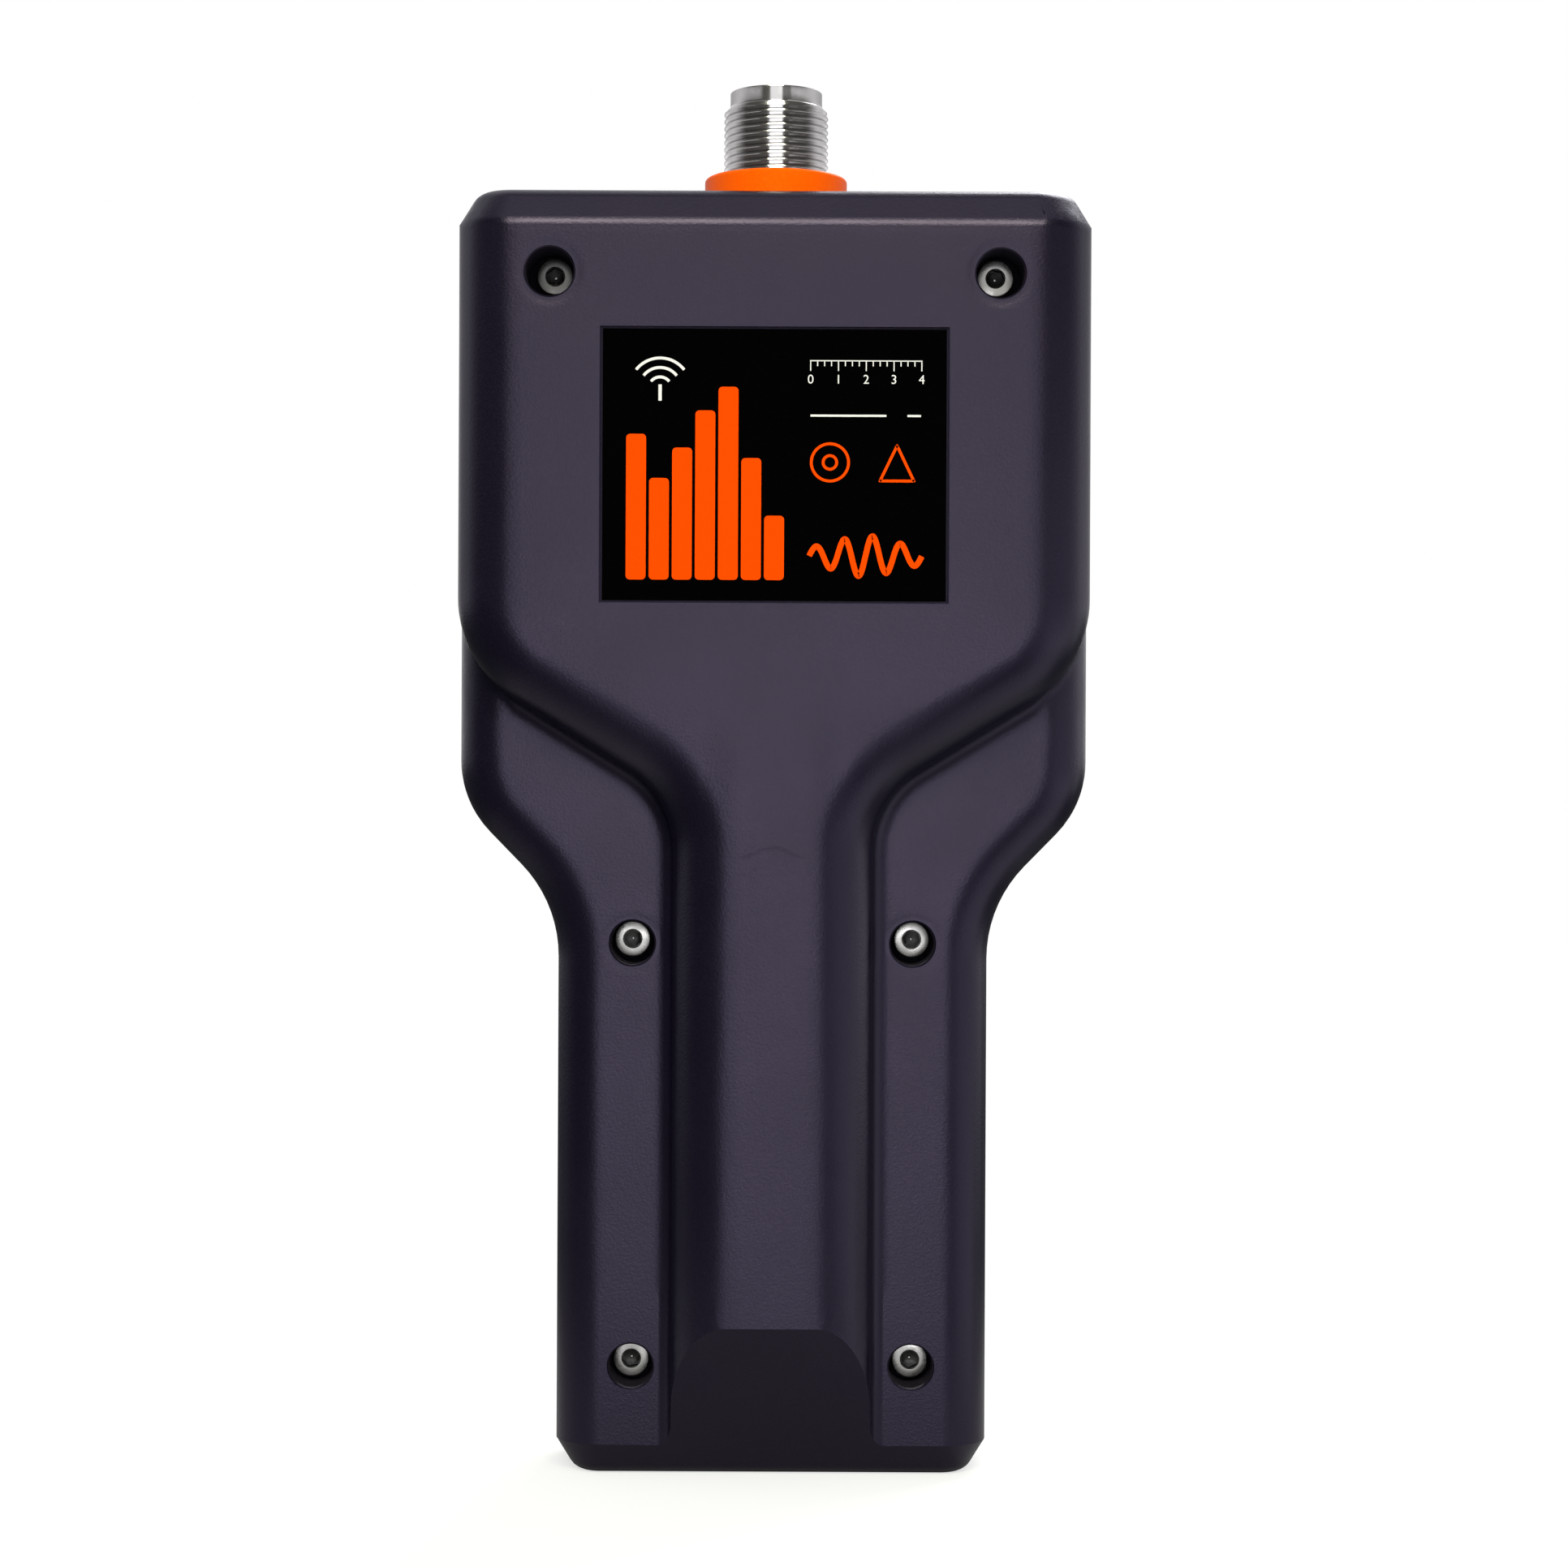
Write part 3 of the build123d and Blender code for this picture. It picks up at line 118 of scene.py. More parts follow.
def apply_modifier(piece: Object, kind: str, **settings: object) -> None:
    """Add a modifier to a piece, set it up and apply it."""
    activate(piece)
    modifier = piece.modifiers.new(kind.lower(), kind)
    for key, value in settings.items():
        setattr(modifier, key, value)
    bpy.ops.object.modifier_apply(modifier=modifier.name)


def settle(piece: Object) -> None:
    """Put a piece's place, turn and scale into its mesh."""
    activate(piece)
    bpy.ops.object.transform_apply(location=True, rotation=True, scale=True)


def tidy_mesh(piece: Object, gap: float = 1e-6) -> None:
    """Merge a piece's doubled points, drop faces of no area and turn its faces outwards."""
    with edit_mode(piece, whole=True):
        bpy.ops.mesh.remove_doubles(threshold=gap)
        bpy.ops.mesh.dissolve_degenerate(threshold=gap)
        bpy.ops.mesh.select_all(action="SELECT")
        bpy.ops.mesh.normals_make_consistent(inside=False)


def smooth(piece: Object, angle: float = 30.0) -> None:
    """Shade a piece smooth except over edges sharper than an angle, with flat faces kept flat."""
    activate(piece)
    bpy.ops.object.shade_smooth_by_angle(angle=math.radians(angle))
    apply_modifier(piece, "WEIGHTED_NORMAL", mode="FACE_AREA", keep_sharp=True, weight=50)


def join(pieces: Sequence[Object]) -> Object:
    """Join several objects into the first one and return it."""
    activate(pieces[0])
    for piece in pieces:
        piece.select_set(True)
    if len(pieces) > 1:
        bpy.ops.object.join()
    return pieces[0]


def copy_of(piece: Object) -> Object:
    """Duplicate a piece, with a mesh of its own."""
    activate(piece)
    bpy.ops.object.duplicate(linked=False)
    return bpy.context.active_object


def cut(piece: Object, tool: Object, operation: str = "DIFFERENCE") -> None:
    """Combine a piece with a tool by a boolean operation, and remove the tool."""
    apply_modifier(piece, "BOOLEAN", operation=operation, object=tool, solver="EXACT")
    bpy.data.objects.remove(tool)


def draw_profile(points: Sequence[Point]) -> Object:
    """Draw an open profile in the X-Z plane, point by point, as edges.

    Args:
        points: Radius and height of each point, in millimetres.

    Returns:
        The mesh object of edges alone.
    """
    profile = new_primitive("plane", size=MM)
    first = Vector((points[0][0], 0.0, points[0][1])) * MM
    with edit_mode(profile):
        bpy.ops.mesh.merge(type="CENTER")
        bpy.ops.transform.translate(value=first)
        for before, after in zip(points, points[1:]):
            step = Vector((after[0] - before[0], 0.0, after[1] - before[1])) * MM
            bpy.ops.mesh.extrude_region_move(TRANSFORM_OT_translate={"value": step})
    return profile


def spin(profile: Object, steps: int, pitch: float = 0.0, turns: int = 1) -> None:
    """Sweep a profile round the Z axis, in facets, with a rise per turn in millimetres."""
    apply_modifier(
        profile, "SCREW", angle=math.tau, steps=steps, render_steps=steps, screw_offset=pitch * MM,
        iterations=turns, use_merge_vertices=True, merge_threshold=1e-7,
    )


def turned(points: Sequence[Point], steps: int) -> Object:
    """Turn an open profile round the Z axis into a body with its faces outwards.

    Args:
        points: Radius and height of each point, in millimetres.
        steps: Number of facets round the axis.

    Returns:
        The turned piece.
    """
    piece = draw_profile(points)
    spin(piece, steps)
    tidy_mesh(piece)
    return piece


def merged_copy(node: str, angle: float = 30.0) -> Object:
    """Copy a CAD node's mesh, with its loose triangles merged and its round faces shaded smooth.

    Args:
        node: The CAD node's name.
        angle: Edges sharper than this, in degrees, stay sharp.

    Returns:
        The copy, which doesn't stand for the node yet.
    """
    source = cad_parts[node]
    piece = bpy.data.objects.new(f"{node}_shell", source.data.copy())
    bpy.context.scene.collection.objects.link(piece)
    piece.data.materials.clear()
    activate(piece)
    if piece.data.has_custom_normals:
        bpy.ops.mesh.customdata_custom_splitnormals_clear()
    with edit_mode(piece, whole=True):
        bpy.ops.mesh.remove_doubles(threshold=2e-6)
    smooth(piece, angle)
    return piece


# ------------------------------------------------------------------ shader helpers


class Graph:
    """A node tree, with short calls that add nodes and join their sockets."""

    def __init__(self, tree: bpy.types.NodeTree) -> None:
        """Keep the tree and empty it."""
        self.tree = tree
        tree.nodes.clear()

    def add(self, kind: str, values: dict[str | int, object] | None = None, **settings: object) -> Node:
        """Add a node.

        Args:
            kind: The node's type, without its leading "ShaderNode".
            values: Numbers, colours or sockets for its inputs, by name or number.
            settings: Its own settings.

        Returns:
            The new node.
        """
        node = self.tree.nodes.new(f"ShaderNode{kind}")
        for key, value in settings.items():
            setattr(node, key, value)
        self.feed(node, values or {})
        return node

    def feed(self, node: Node, values: dict[str | int, object]) -> None:
        """Link sockets to a node's inputs, or set those that get a plain number or colour."""
        for key, value in values.items():
            socket = node.inputs[key]
            if isinstance(value, Socket):
                self.tree.links.new(value, socket)
            elif socket.type == "RGBA" and len(value) == 3:
                socket.default_value = (*value, 1.0)
            else:
                socket.default_value = value

    @cached_property
    def place(self) -> Socket:
        """Object coordinates, unless another place is set."""
        return self.add("TexCoord").outputs["Object"]

    @cached_property
    def parts(self) -> Sequence[Socket]:
        """X, Y and Z of the place, in millimetres."""
        scaled = self.add("VectorMath", {0: self.place, "Scale": 1.0 / MM}, operation="SCALE").outputs[0]
        return self.add("SeparateXYZ", {0: scaled}).outputs

    @cached_property
    def mirrored(self) -> tuple[Socket, Socket, Socket]:
        """X, Y and Z of the place, in millimetres, with the -X side laid over the +X side."""
        x, y, z = self.parts
        return self.maths("ABSOLUTE", x), y, z

    def normal(self) -> Socket:
        """Return the shape's own normal."""
        return self.add("NewGeometry").outputs["Normal"]

    def maths(self, operation: str, first: Value, second: Value = 0.0) -> Socket:
        """Return the result of a maths operation on two values."""
        return self.add("Math", {0: first, 1: second}, operation=operation).outputs[0]

    def total(self, *values: Value) -> Socket:
        """Return the sum of several values."""
        return reduce(partial(self.maths, "ADD"), values)

    def product(self, *values: Value) -> Socket:
        """Return the product of several values."""
        return reduce(partial(self.maths, "MULTIPLY"), values)

    def most(self, *values: Value) -> Socket:
        """Return the largest of several values."""
        return reduce(partial(self.maths, "MAXIMUM"), values)

    def less(self, value: Value, other: Value) -> Socket:
        """Return a value less another one."""
        return self.maths("SUBTRACT", value, other)

    def gap(self, value: Value, centre: Value) -> Socket:
        """Return how far a value is from a centre, on either side."""
        return self.maths("ABSOLUTE", self.less(value, centre))

    def reach(self, first: Value, second: Value) -> Socket:
        """Return the length of a flat vector with these two parts."""
        flat = self.add("CombineXYZ", {0: first, 1: second}).outputs[0]
        return self.add("VectorMath", {0: flat}, operation="LENGTH").outputs["Value"]

    def fade(self, value: Value, start: float, end: float, low: float = 0.0, high: float = 1.0) -> Socket:
        """Return a value mapped smoothly from one range to another, and held at the ends."""
        values = {"Value": value, 1: start, 2: end, 3: low, 4: high}
        return self.add("MapRange", values, interpolation_type="SMOOTHSTEP").outputs["Result"]

    def within(self, value: Value, rise: Sequence[float], fall: Sequence[float]) -> Socket:
        """Return a mask that fades in over one range of a value and out over another."""
        return self.product(self.fade(value, *rise), self.fade(value, *fall))

    def blend(self, factor: Value, first: object, second: object) -> Socket:
        """Return a colour between two colours."""
        return self.add("Mix", {0: factor, 6: first, 7: second}, data_type="RGBA").outputs[2]

    def between(self, factor: Value, first: Socket, second: Socket) -> Socket:
        """Return a direction between two directions."""
        mixed = self.add("Mix", {0: factor, 4: first, 5: second}, data_type="VECTOR").outputs[1]
        return self.add("VectorMath", {0: mixed}, operation="NORMALIZE").outputs[0]

    def noise(self, scale: float, detail: float = 2.0, stretch: Triple | None = None) -> Socket:
        """Return noise from 0 to 1, its scale in waves per metre and its place stretched where asked."""
        place = self.place
        if stretch is not None:
            place = self.add("Mapping", {"Vector": place, "Scale": stretch}).outputs[0]
        values = {"Vector": place, "Scale": scale, "Detail": detail, "Roughness": 0.55}
        return self.add("TexNoise", values).outputs["Fac"]

    def wave(self, scale: float, direction: str) -> Socket:
        """Return waves from 0 to 1 along a direction, their scale in waves per metre."""
        values = {"Vector": self.place, "Scale": scale}
        return self.add("TexWave", values, bands_direction=direction).outputs["Fac"]

    def bump(self, height: Value, distance: float, normal: Socket | None = None) -> Socket:
        """Return a normal bent by a height, whose full depth is given in millimetres."""
        values = {"Height": height, "Distance": distance * MM, "Strength": 1.0}
        if normal is not None:
            values["Normal"] = normal
        return self.add("Bump", values).outputs[0]

    def effect(self, tree: bpy.types.NodeTree, **values: object) -> Node:
        """Place a shared effect, with values for its inputs."""
        node = self.add("Group", node_tree=tree)
        self.feed(node, {"Place": self.place, **values})
        return node


def new_effect(
    name: str, inputs: dict[str, float], outputs: Sequence[str]
) -> tuple[Graph, Sequence[Socket], Node]:
    """Start a shared shader effect that puts out values alone.

    Args:
        name: The group's name.
        inputs: Its number inputs, with their values where none is given. It has "Place" too.
        outputs: Its number outputs.

    Returns:
        The graph inside it, what comes in and the node that leads out.
    """
    tree = bpy.data.node_groups.new(name, "ShaderNodeTree")
    tree.interface.new_socket("Place", in_out="INPUT", socket_type="NodeSocketVector")
    for key, value in inputs.items():
        socket = tree.interface.new_socket(key, in_out="INPUT", socket_type="NodeSocketFloat")
        socket.default_value = value
    for key in outputs:
        tree.interface.new_socket(key, in_out="OUTPUT", socket_type="NodeSocketFloat")
    graph = Graph(tree)
    given = tree.nodes.new("NodeGroupInput").outputs
    graph.place = given["Place"]
    return graph, given, tree.nodes.new("NodeGroupOutput")


def fine_grain() -> bpy.types.NodeTree:
    """Build the grain of a spark-eroded mould: Height, and Fleck, its brighter tops."""
    graph, given, leave = new_effect("fine_grain", {"Size": 0.3}, ("Height", "Fleck"))
    rate = graph.maths("DIVIDE", 1.0 / MM, given["Size"])
    values = {"Vector": graph.place, "Scale": rate}
    coarse = graph.add("TexNoise", {**values, "Detail": 3.0, "Roughness": 0.6}).outputs["Fac"]
    cells = graph.add("TexVoronoi", values, feature="SMOOTH_F1").outputs["Distance"]
    height = graph.total(coarse, graph.product(cells, 0.35))
    graph.feed(leave, {"Height": height, "Fleck": graph.fade(height, 0.55, 0.95)})
    return graph.tree


def edge_wear() -> bpy.types.NodeTree:
    """Build the wear of handled edges: Mask, broken up along the edges of a shape."""
    graph, given, leave = new_effect("edge_wear", {"Radius": 0.4, "Amount": 0.5}, ("Mask",))
    rounded = graph.add("Bevel", {"Radius": graph.product(given["Radius"], MM)}, samples=4).outputs[0]
    match = graph.add("VectorMath", {0: rounded, 1: graph.normal()}, operation="DOT_PRODUCT").outputs["Value"]
    patchy = graph.fade(graph.noise(700.0, 4.0), 0.42, 0.62)
    graph.feed(leave, {"Mask": graph.product(graph.fade(match, 0.995, 0.90), patchy, given["Amount"])})
    return graph.tree


def light_dust() -> bpy.types.NodeTree:
    """Build fine dust: Mask, in clouds and specks."""
    graph, given, leave = new_effect("light_dust", {"Amount": 0.3}, ("Mask",))
    clouds = graph.fade(graph.noise(45.0, 5.0), 0.45, 0.8, 0.0, 0.5)
    specks = graph.fade(graph.noise(2600.0, 1.0), 0.72, 0.80, 0.0, 0.6)
    graph.feed(leave, {"Mask": graph.product(graph.total(clouds, specks), given["Amount"])})
    return graph.tree


def turning_marks() -> bpy.types.NodeTree:
    """Build the fine rings that a lathe leaves round the Z axis: Height and Tone."""
    graph, given, leave = new_effect("turning_marks", {"Pitch": 0.05}, ("Height", "Tone"))
    x, y, z = graph.parts
    along = graph.total(z, graph.reach(x, y))
    ring = graph.add("CombineXYZ", {2: graph.maths("DIVIDE", along, given["Pitch"])}).outputs[0]
    height = graph.add("TexNoise", {"Vector": ring, "Scale": 1.0, "Detail": 3.0}).outputs["Fac"]
    tone = graph.fade(graph.noise(260.0, 4.0), 0.3, 0.75)
    graph.feed(leave, {"Height": height, "Tone": tone})
    return graph.tree


FINE_GRAIN = fine_grain()
EDGE_WEAR = edge_wear()
LIGHT_DUST = light_dust()
TURNING_MARKS = turning_marks()


# ------------------------------------------------------------------ finishes


@dataclass(frozen=True)
class Finish:
    """A finish, with what all finishes share.

    Attributes:
        name: The material's name.
        slot: The record's material slot for pieces with it; not used in this script.
        colour: Base colour, linear.
        roughness: Mean roughness.
        metallic: Metallic share.
    """

    name: str
    slot: str
    colour: Colour
    roughness: float
    metallic: float = 0.0

    def material(self) -> bpy.types.Material:
        """Build the material, or return it where it is built already."""
        if self.name in bpy.data.materials:
            return bpy.data.materials[self.name]
        material = bpy.data.materials.new(self.name)
        material.use_nodes = True
        graph = Graph(material.node_tree)
        values = {"Base Color": self.colour, "Metallic": self.metallic, "Roughness": self.roughness}
        shader = graph.add("BsdfPrincipled", values)
        graph.add("OutputMaterial", {0: shader.outputs[0]})
        self.dress(graph, shader)
        return material

    def dress(self, graph: Graph, shader: Node) -> None:
        """Add what makes this finish."""
        raise NotImplementedError

    def shade(self, factor: float, lift: float = 0.0) -> Colour:
        """Return the base colour made darker or lighter."""
        return tuple(min(1.0, part * factor + lift) for part in self.colour)


@dataclass(frozen=True)
class MouldedPlastic(Finish):
    """Grained moulded plastic, with dust and worn edges."""

    grain: float = 0.38
    depth: float = 0.028
    dust: float = 0.05
    wear: float = 0.3
    level: float = 0.5
    tint: Colour = (1.0, 1.0, 1.0)

    def dress(self, graph: Graph, shader: Node) -> None:
        """Add grain, dust, worn edges and any relief."""
        grain = graph.effect(FINE_GRAIN, Size=self.grain).outputs
        dust = graph.effect(LIGHT_DUST, Amount=self.dust).outputs["Mask"]
        worn = graph.effect(EDGE_WEAR, Amount=self.wear).outputs["Mask"]
        lighter = self.shade(1.5, 0.004)
        colour = graph.blend(graph.product(grain["Fleck"], 0.35), self.colour, lighter)
        colour = graph.blend(dust, colour, self.shade(0.8, 0.02))
        rough = graph.fade(graph.noise(60.0, 3.0), 0.3, 0.7, self.roughness - 0.02, self.roughness + 0.02)
        graph.feed(shader, {
            "Specular IOR Level": self.level,
            "Specular Tint": self.tint,
            "Base Color": graph.blend(worn, colour, lighter),
            "Roughness": graph.less(rough, graph.product(worn, 0.12)),
            "Normal": graph.bump(grain["Height"], self.depth, self.relief(graph)),
        })

    def relief(self, graph: Graph) -> Socket | None:
        """Return the normal under the grain, where it isn't the shape's own."""
        return None


@dataclass(frozen=True)
class CasePlastic(MouldedPlastic):
    """Plastic of the back cover, eased over its rounds, and rougher inside the screw wells, with painted
    shade there.

    Attributes:
        wells: X, Z and radius of each well on the +X side, in millimetres. The -X side mirrors it.
        crown: Height of the crown across the head and the ridge.
        ease: Radius over which flats run into rounds.
        label: Z of the label's middle, and half the width and the height of the cut round it.
        back: Y that only the back face lies behind.
    """

    wells: tuple[Triple, ...] = ((33.3, 180.4, 3.68), (21.17, 80.8, 3.45), (21.17, 16.8, 3.45))
    crown: float = 0.30
    ease: float = 2.4
    label: Triple = (152.0, 25.84, 20.42)
    back: float = 17.0

    def dress(self, graph: Graph, shader: Node) -> None:
        """Add what moulded plastic has, and then the wells' painted shade and roughness, and the dark line
        round the label.
        """
        super().dress(graph, shader)
        inside = self.well_mask(graph)
        colour, rough = (shader.inputs[name].links[0].from_socket for name in ("Base Color", "Roughness"))
        kept = graph.product(rough, graph.less(1.0, inside))
        # Painted shade: inside the wells the base colour falls to a fifth.
        graph.feed(shader, {
            "Base Color": graph.blend(inside, colour, self.shade(0.2)),
            "Roughness": graph.total(kept, graph.product(inside, 0.9)),
            "Specular IOR Level": graph.fade(self.frame_mask(graph), 0.0, 1.0, self.level, self.level * 0.35),
        })

    def relief(self, graph: Graph) -> Socket:
        """Return the eased normal, with the gate's arc and the crown in it."""
        arc = graph.bump(self.arc_mark(graph), 0.05, self.eased_normal(graph))
        return graph.bump(self.crown_height(graph), self.crown, arc)

    def arc_mark(self, graph: Graph) -> Socket:
        """Return a faint raised arc on the ridge, where the mould's gate was."""
        centre_z, radius, half_width = 90.3, 5.6, 0.95
        above = (3.4, 4.4)
        x, y, z = graph.parts
        rise = graph.less(z, centre_z)
        line = graph.fade(graph.gap(graph.reach(x, rise), radius), half_width, 0.0, 0.0, 0.8)
        return graph.product(line, graph.fade(rise, *above), graph.maths("GREATER_THAN", y, self.back))

    def eased_normal(self, graph: Graph) -> Socket:
        """Return the normal, eased over the rounds, but not at the ends, the label and the wells."""
        beside_label, over_label = (26.0, 28.0), (20.6, 22.6)
        low_end, high_end = (26.0, 30.0), (187.6, 186.2)
        near, far = 0.3, 1.8
        side, _, z = graph.mirrored
        rise = graph.gap(z, self.label[0])
        label = graph.most(graph.fade(side, *beside_label), graph.fade(rise, *over_label))
        eased = graph.product(graph.within(z, low_end, high_end), label)
        for well_x, well_z, radius in self.wells:
            reach = graph.reach(graph.less(side, well_x), graph.less(z, well_z))
            eased = graph.product(eased, graph.fade(reach, radius + near, radius + far))
        rounded = graph.add("Bevel", {"Radius": self.ease * MM}, samples=8).outputs[0]
        return graph.between(eased, graph.normal(), rounded)

    @staticmethod
    def crown_height(graph: Graph) -> Socket:
        """Return the height of the crown, by which the head and the ridge fall away towards their sides."""
        head_sides, head_foot = (37.0, 43.4), (122.0, 136.0)
        ridge_sides, ridge_top = (4.3, 10.6), (120.0, 104.0)
        back = (11.0, 15.0)
        side, y, z = graph.mirrored
        head = graph.product(graph.fade(side, *head_sides), graph.fade(z, *head_foot))
        ridge = graph.product(graph.fade(side, *ridge_sides), graph.fade(z, *ridge_top))
        return graph.less(1.0, graph.product(graph.total(head, ridge), graph.fade(y, *back)))

    def frame_mask(self, graph: Graph) -> Socket:
        """Return a mask of the dark line round the label, where its recess is cut."""
        side, y, z = graph.mirrored
        centre_z, half_width, half_height = self.label
        beyond = graph.most(graph.less(side, half_width), graph.less(graph.gap(z, centre_z), half_height))
        line = graph.fade(beyond, 0.03, -0.03)
        return graph.product(line, graph.maths("GREATER_THAN", y, self.back))

    def well_mask(self, graph: Graph) -> Socket:
        """Return a mask of the painted shade inside the screw wells, left off the lit foot of those in the
        handle.
        """
        handle_top = 100.0
        foot_top, foot_low, depths = -0.55, -0.93, (5.4, 3.6)
        side, y, z = graph.mirrored
        masks = []
        for well_x, well_z, radius in self.wells:
            rise = graph.less(z, well_z)
            within = graph.maths("LESS_THAN", graph.reach(graph.less(side, well_x), rise), radius)
            if well_z < handle_top:
                unlit = graph.fade(rise, foot_low * radius, foot_top * radius)
                within = graph.product(within, graph.most(unlit, graph.fade(y, *depths)))
            masks.append(within)
        return graph.most(*masks)


@dataclass(frozen=True)
class TurnedMetal(Finish):
    """Turned and plated metal with fine lathe rings."""

    pitch: float = 0.06
    depth: float = 0.0015
    metallic: float = 1.0
    grime: float = 0.0

    def dress(self, graph: Graph, shader: Node) -> None:
        """Add lathe rings, uneven polish, slight tarnish and any painted shade in the recesses."""
        rings = graph.effect(TURNING_MARKS, Pitch=self.pitch).outputs
        colour = graph.blend(rings["Tone"], self.colour, self.shade(0.86))
        # Painted shade: the base colour darkens where recess() marks it.
        if self.grime > 0.0:
            colour = graph.blend(self.recess(graph), colour, self.shade(1.0 - self.grime))
        graph.feed(shader, {
            "Base Color": colour,
            "Roughness": graph.fade(rings["Tone"], 0.0, 1.0, self.roughness * 0.75, self.roughness * 1.3),
            "Normal": graph.bump(rings["Height"], self.depth, self.slope(graph)),
        })

    def recess(self, graph: Graph) -> Value:
        """Return a mask of where shade is painted."""
        return 0.0

    def slope(self, graph: Graph) -> Socket | None:
        """Return the normal under the rings, where it isn't the shape's own."""
        return None


@dataclass(frozen=True)
class ThreadedMetal(TurnedMetal):
    """Turned metal with a thread round the Z axis, with painted shade at the foot of its grooves.

    Attributes:
        root: Radius at the foot of the grooves.
        crest: Radius of the crests.
        low: Z of the thread's lower end.
        high: Z up to which the grooves get painted shade.
        top: Z of the thread's upper end.
        calm: How far the thread's slopes are calmed towards the radius.
    """

    root: float = 7.60
    crest: float = 7.94
    low: float = 197.0
    high: float = 206.9
    top: float = 208.0
    calm: float = 0.80

    def band(self, graph: Graph, z: Socket, high: float) -> Socket:
        """Return a mask from the thread's lower end up to a height."""
        return graph.product(graph.maths("GREATER_THAN", z, self.low), graph.maths("LESS_THAN", z, high))

    def slope(self, graph: Graph) -> Socket:
        """Return the normal, with the thread's own slopes calmed towards the radius."""
        x, y, z = graph.parts
        flat = graph.add("CombineXYZ", {0: x, 1: y}).outputs[0]
        outward = graph.add("VectorMath", {0: flat}, operation="NORMALIZE").outputs[0]
        return graph.between(graph.product(self.band(graph, z, self.top), self.calm), graph.normal(), outward)

    def recess(self, graph: Graph) -> Socket:
        """Return a mask of the painted shade at the foot of the grooves."""
        x, y, z = graph.parts
        foot = graph.fade(graph.reach(x, y), (self.root + self.crest) / 2.0, self.root)
        return graph.product(foot, self.band(graph, z, self.high))


@dataclass(frozen=True)
class SocketSteel(TurnedMetal):
    """Steel of a socket screw along Y, with painted shade under the face of its head."""

    pitch: float = 0.09
    metallic: float = 0.95
    face: float = 0.0
    oily: float = 0.0

    def recess(self, graph: Graph) -> Socket:
        """Return a mask of painted shade on all that lies under the head's face, and on the whole head on the
        +X side.
        """
        x, y, _ = graph.parts
        under = graph.fade(y, self.face - 0.12, self.face - 0.24)
        return graph.most(under, graph.fade(x, -5.0, 5.0, 0.0, self.oily))


@dataclass(frozen=True)
class BrushedSheet(Finish):
    """Pressed or machined sheet metal with straight brushing."""

    stretch: Triple = (1.0, 1.0, 0.04)
    metallic: float = 1.0

    def dress(self, graph: Graph, shader: Node) -> None:
        """Add brushing along Z and scattered scratches."""
        lines = graph.noise(6000.0, 2.0, self.stretch)
        scratches = graph.fade(graph.noise(900.0, 3.0, (1.0, 1.0, 0.02)), 0.62, 0.70, 0.0, 0.1)
        rough = graph.fade(lines, 0.2, 0.8, self.roughness * 0.8, self.roughness * 1.2)
        graph.feed(shader, {
            "Base Color": graph.blend(lines, self.colour, self.shade(0.8)),
            "Roughness": graph.total(rough, scratches),
            "Normal": graph.bump(lines, 0.002),
        })


@dataclass(frozen=True)
class PrintedSheet(Finish):
    """Printed vinyl or ink, with the fine orange peel of a lacquer coat."""

    peel: float = 0.6
    depth: float = 0.002
    level: float = 0.5

    def dress(self, graph: Graph, shader: Node) -> None:
        """Add orange peel, ink speckle and light scuffs."""
        speckle = graph.fade(graph.noise(9000.0, 1.0), 0.35, 0.65)
        scuffs = graph.noise(500.0, 4.0, (0.15, 1.0, 1.0))
        graph.feed(shader, {
            "Specular IOR Level": self.level,
            "Base Color": graph.blend(speckle, self.colour, self.shade(1.12, 0.0008)),
            "Roughness": graph.fade(scuffs, 0.55, 0.75, self.roughness, self.roughness + 0.08),
            "Normal": graph.bump(graph.noise(1000.0 / self.peel, 2.0), self.depth),
        })


@dataclass(frozen=True)
class SiliconeRubber(Finish):
    """Matte moulded rubber with a soft sheen and lint."""

    grain: float = 0.18
    sheen: float = 0.12

    def dress(self, graph: Graph, shader: Node) -> None:
        """Add fine grain, lint and a rubbed polish in patches."""
        grain = graph.effect(FINE_GRAIN, Size=self.grain).outputs["Height"]
        lint = graph.effect(LIGHT_DUST, Amount=0.25).outputs["Mask"]
        graph.feed(shader, {
            "Sheen Weight": self.sheen,
            "Sheen Roughness": 0.5,
            "Base Color": graph.blend(lint, self.colour, self.shade(0.85, 0.05)),
            "Roughness": graph.fade(graph.noise(130.0, 3.0), 0.35, 0.7, self.roughness - 0.1, self.roughness),
            "Normal": graph.bump(grain, 0.008),
        })


@dataclass(frozen=True)
class ClearWindow(Finish):
    """Hard-coated clear window, with faint smears."""

    def dress(self, graph: Graph, shader: Node) -> None:
        """Let light through, and add smears that change the polish alone."""
        smears = graph.noise(70.0, 4.0, (1.0, 1.0, 0.4))
        graph.feed(shader, {
            "Transmission Weight": 1.0,
            "IOR": 1.38,
            "Roughness": graph.fade(smears, 0.5, 0.9, self.roughness, self.roughness + 0.015),
        })


@dataclass(frozen=True)
class LitInk(Finish):
    """Lit part of the display, or of the status light."""

    glow: float = 1.0

    def dress(self, graph: Graph, shader: Node) -> None:
        """Light it, with a fine pixel grid in its strength."""
        rows = graph.wave(900.0, "Z")
        graph.feed(shader, {
            "Emission Color": graph.blend(rows, self.colour, self.shade(0.86)),
            "Emission Strength": self.glow,
            "Base Color": (0.001, 0.001, 0.001),
            "Specular IOR Level": 0.05,
            "Roughness": graph.fade(graph.noise(200.0), 0.3, 0.7, 0.25, 0.35),
        })


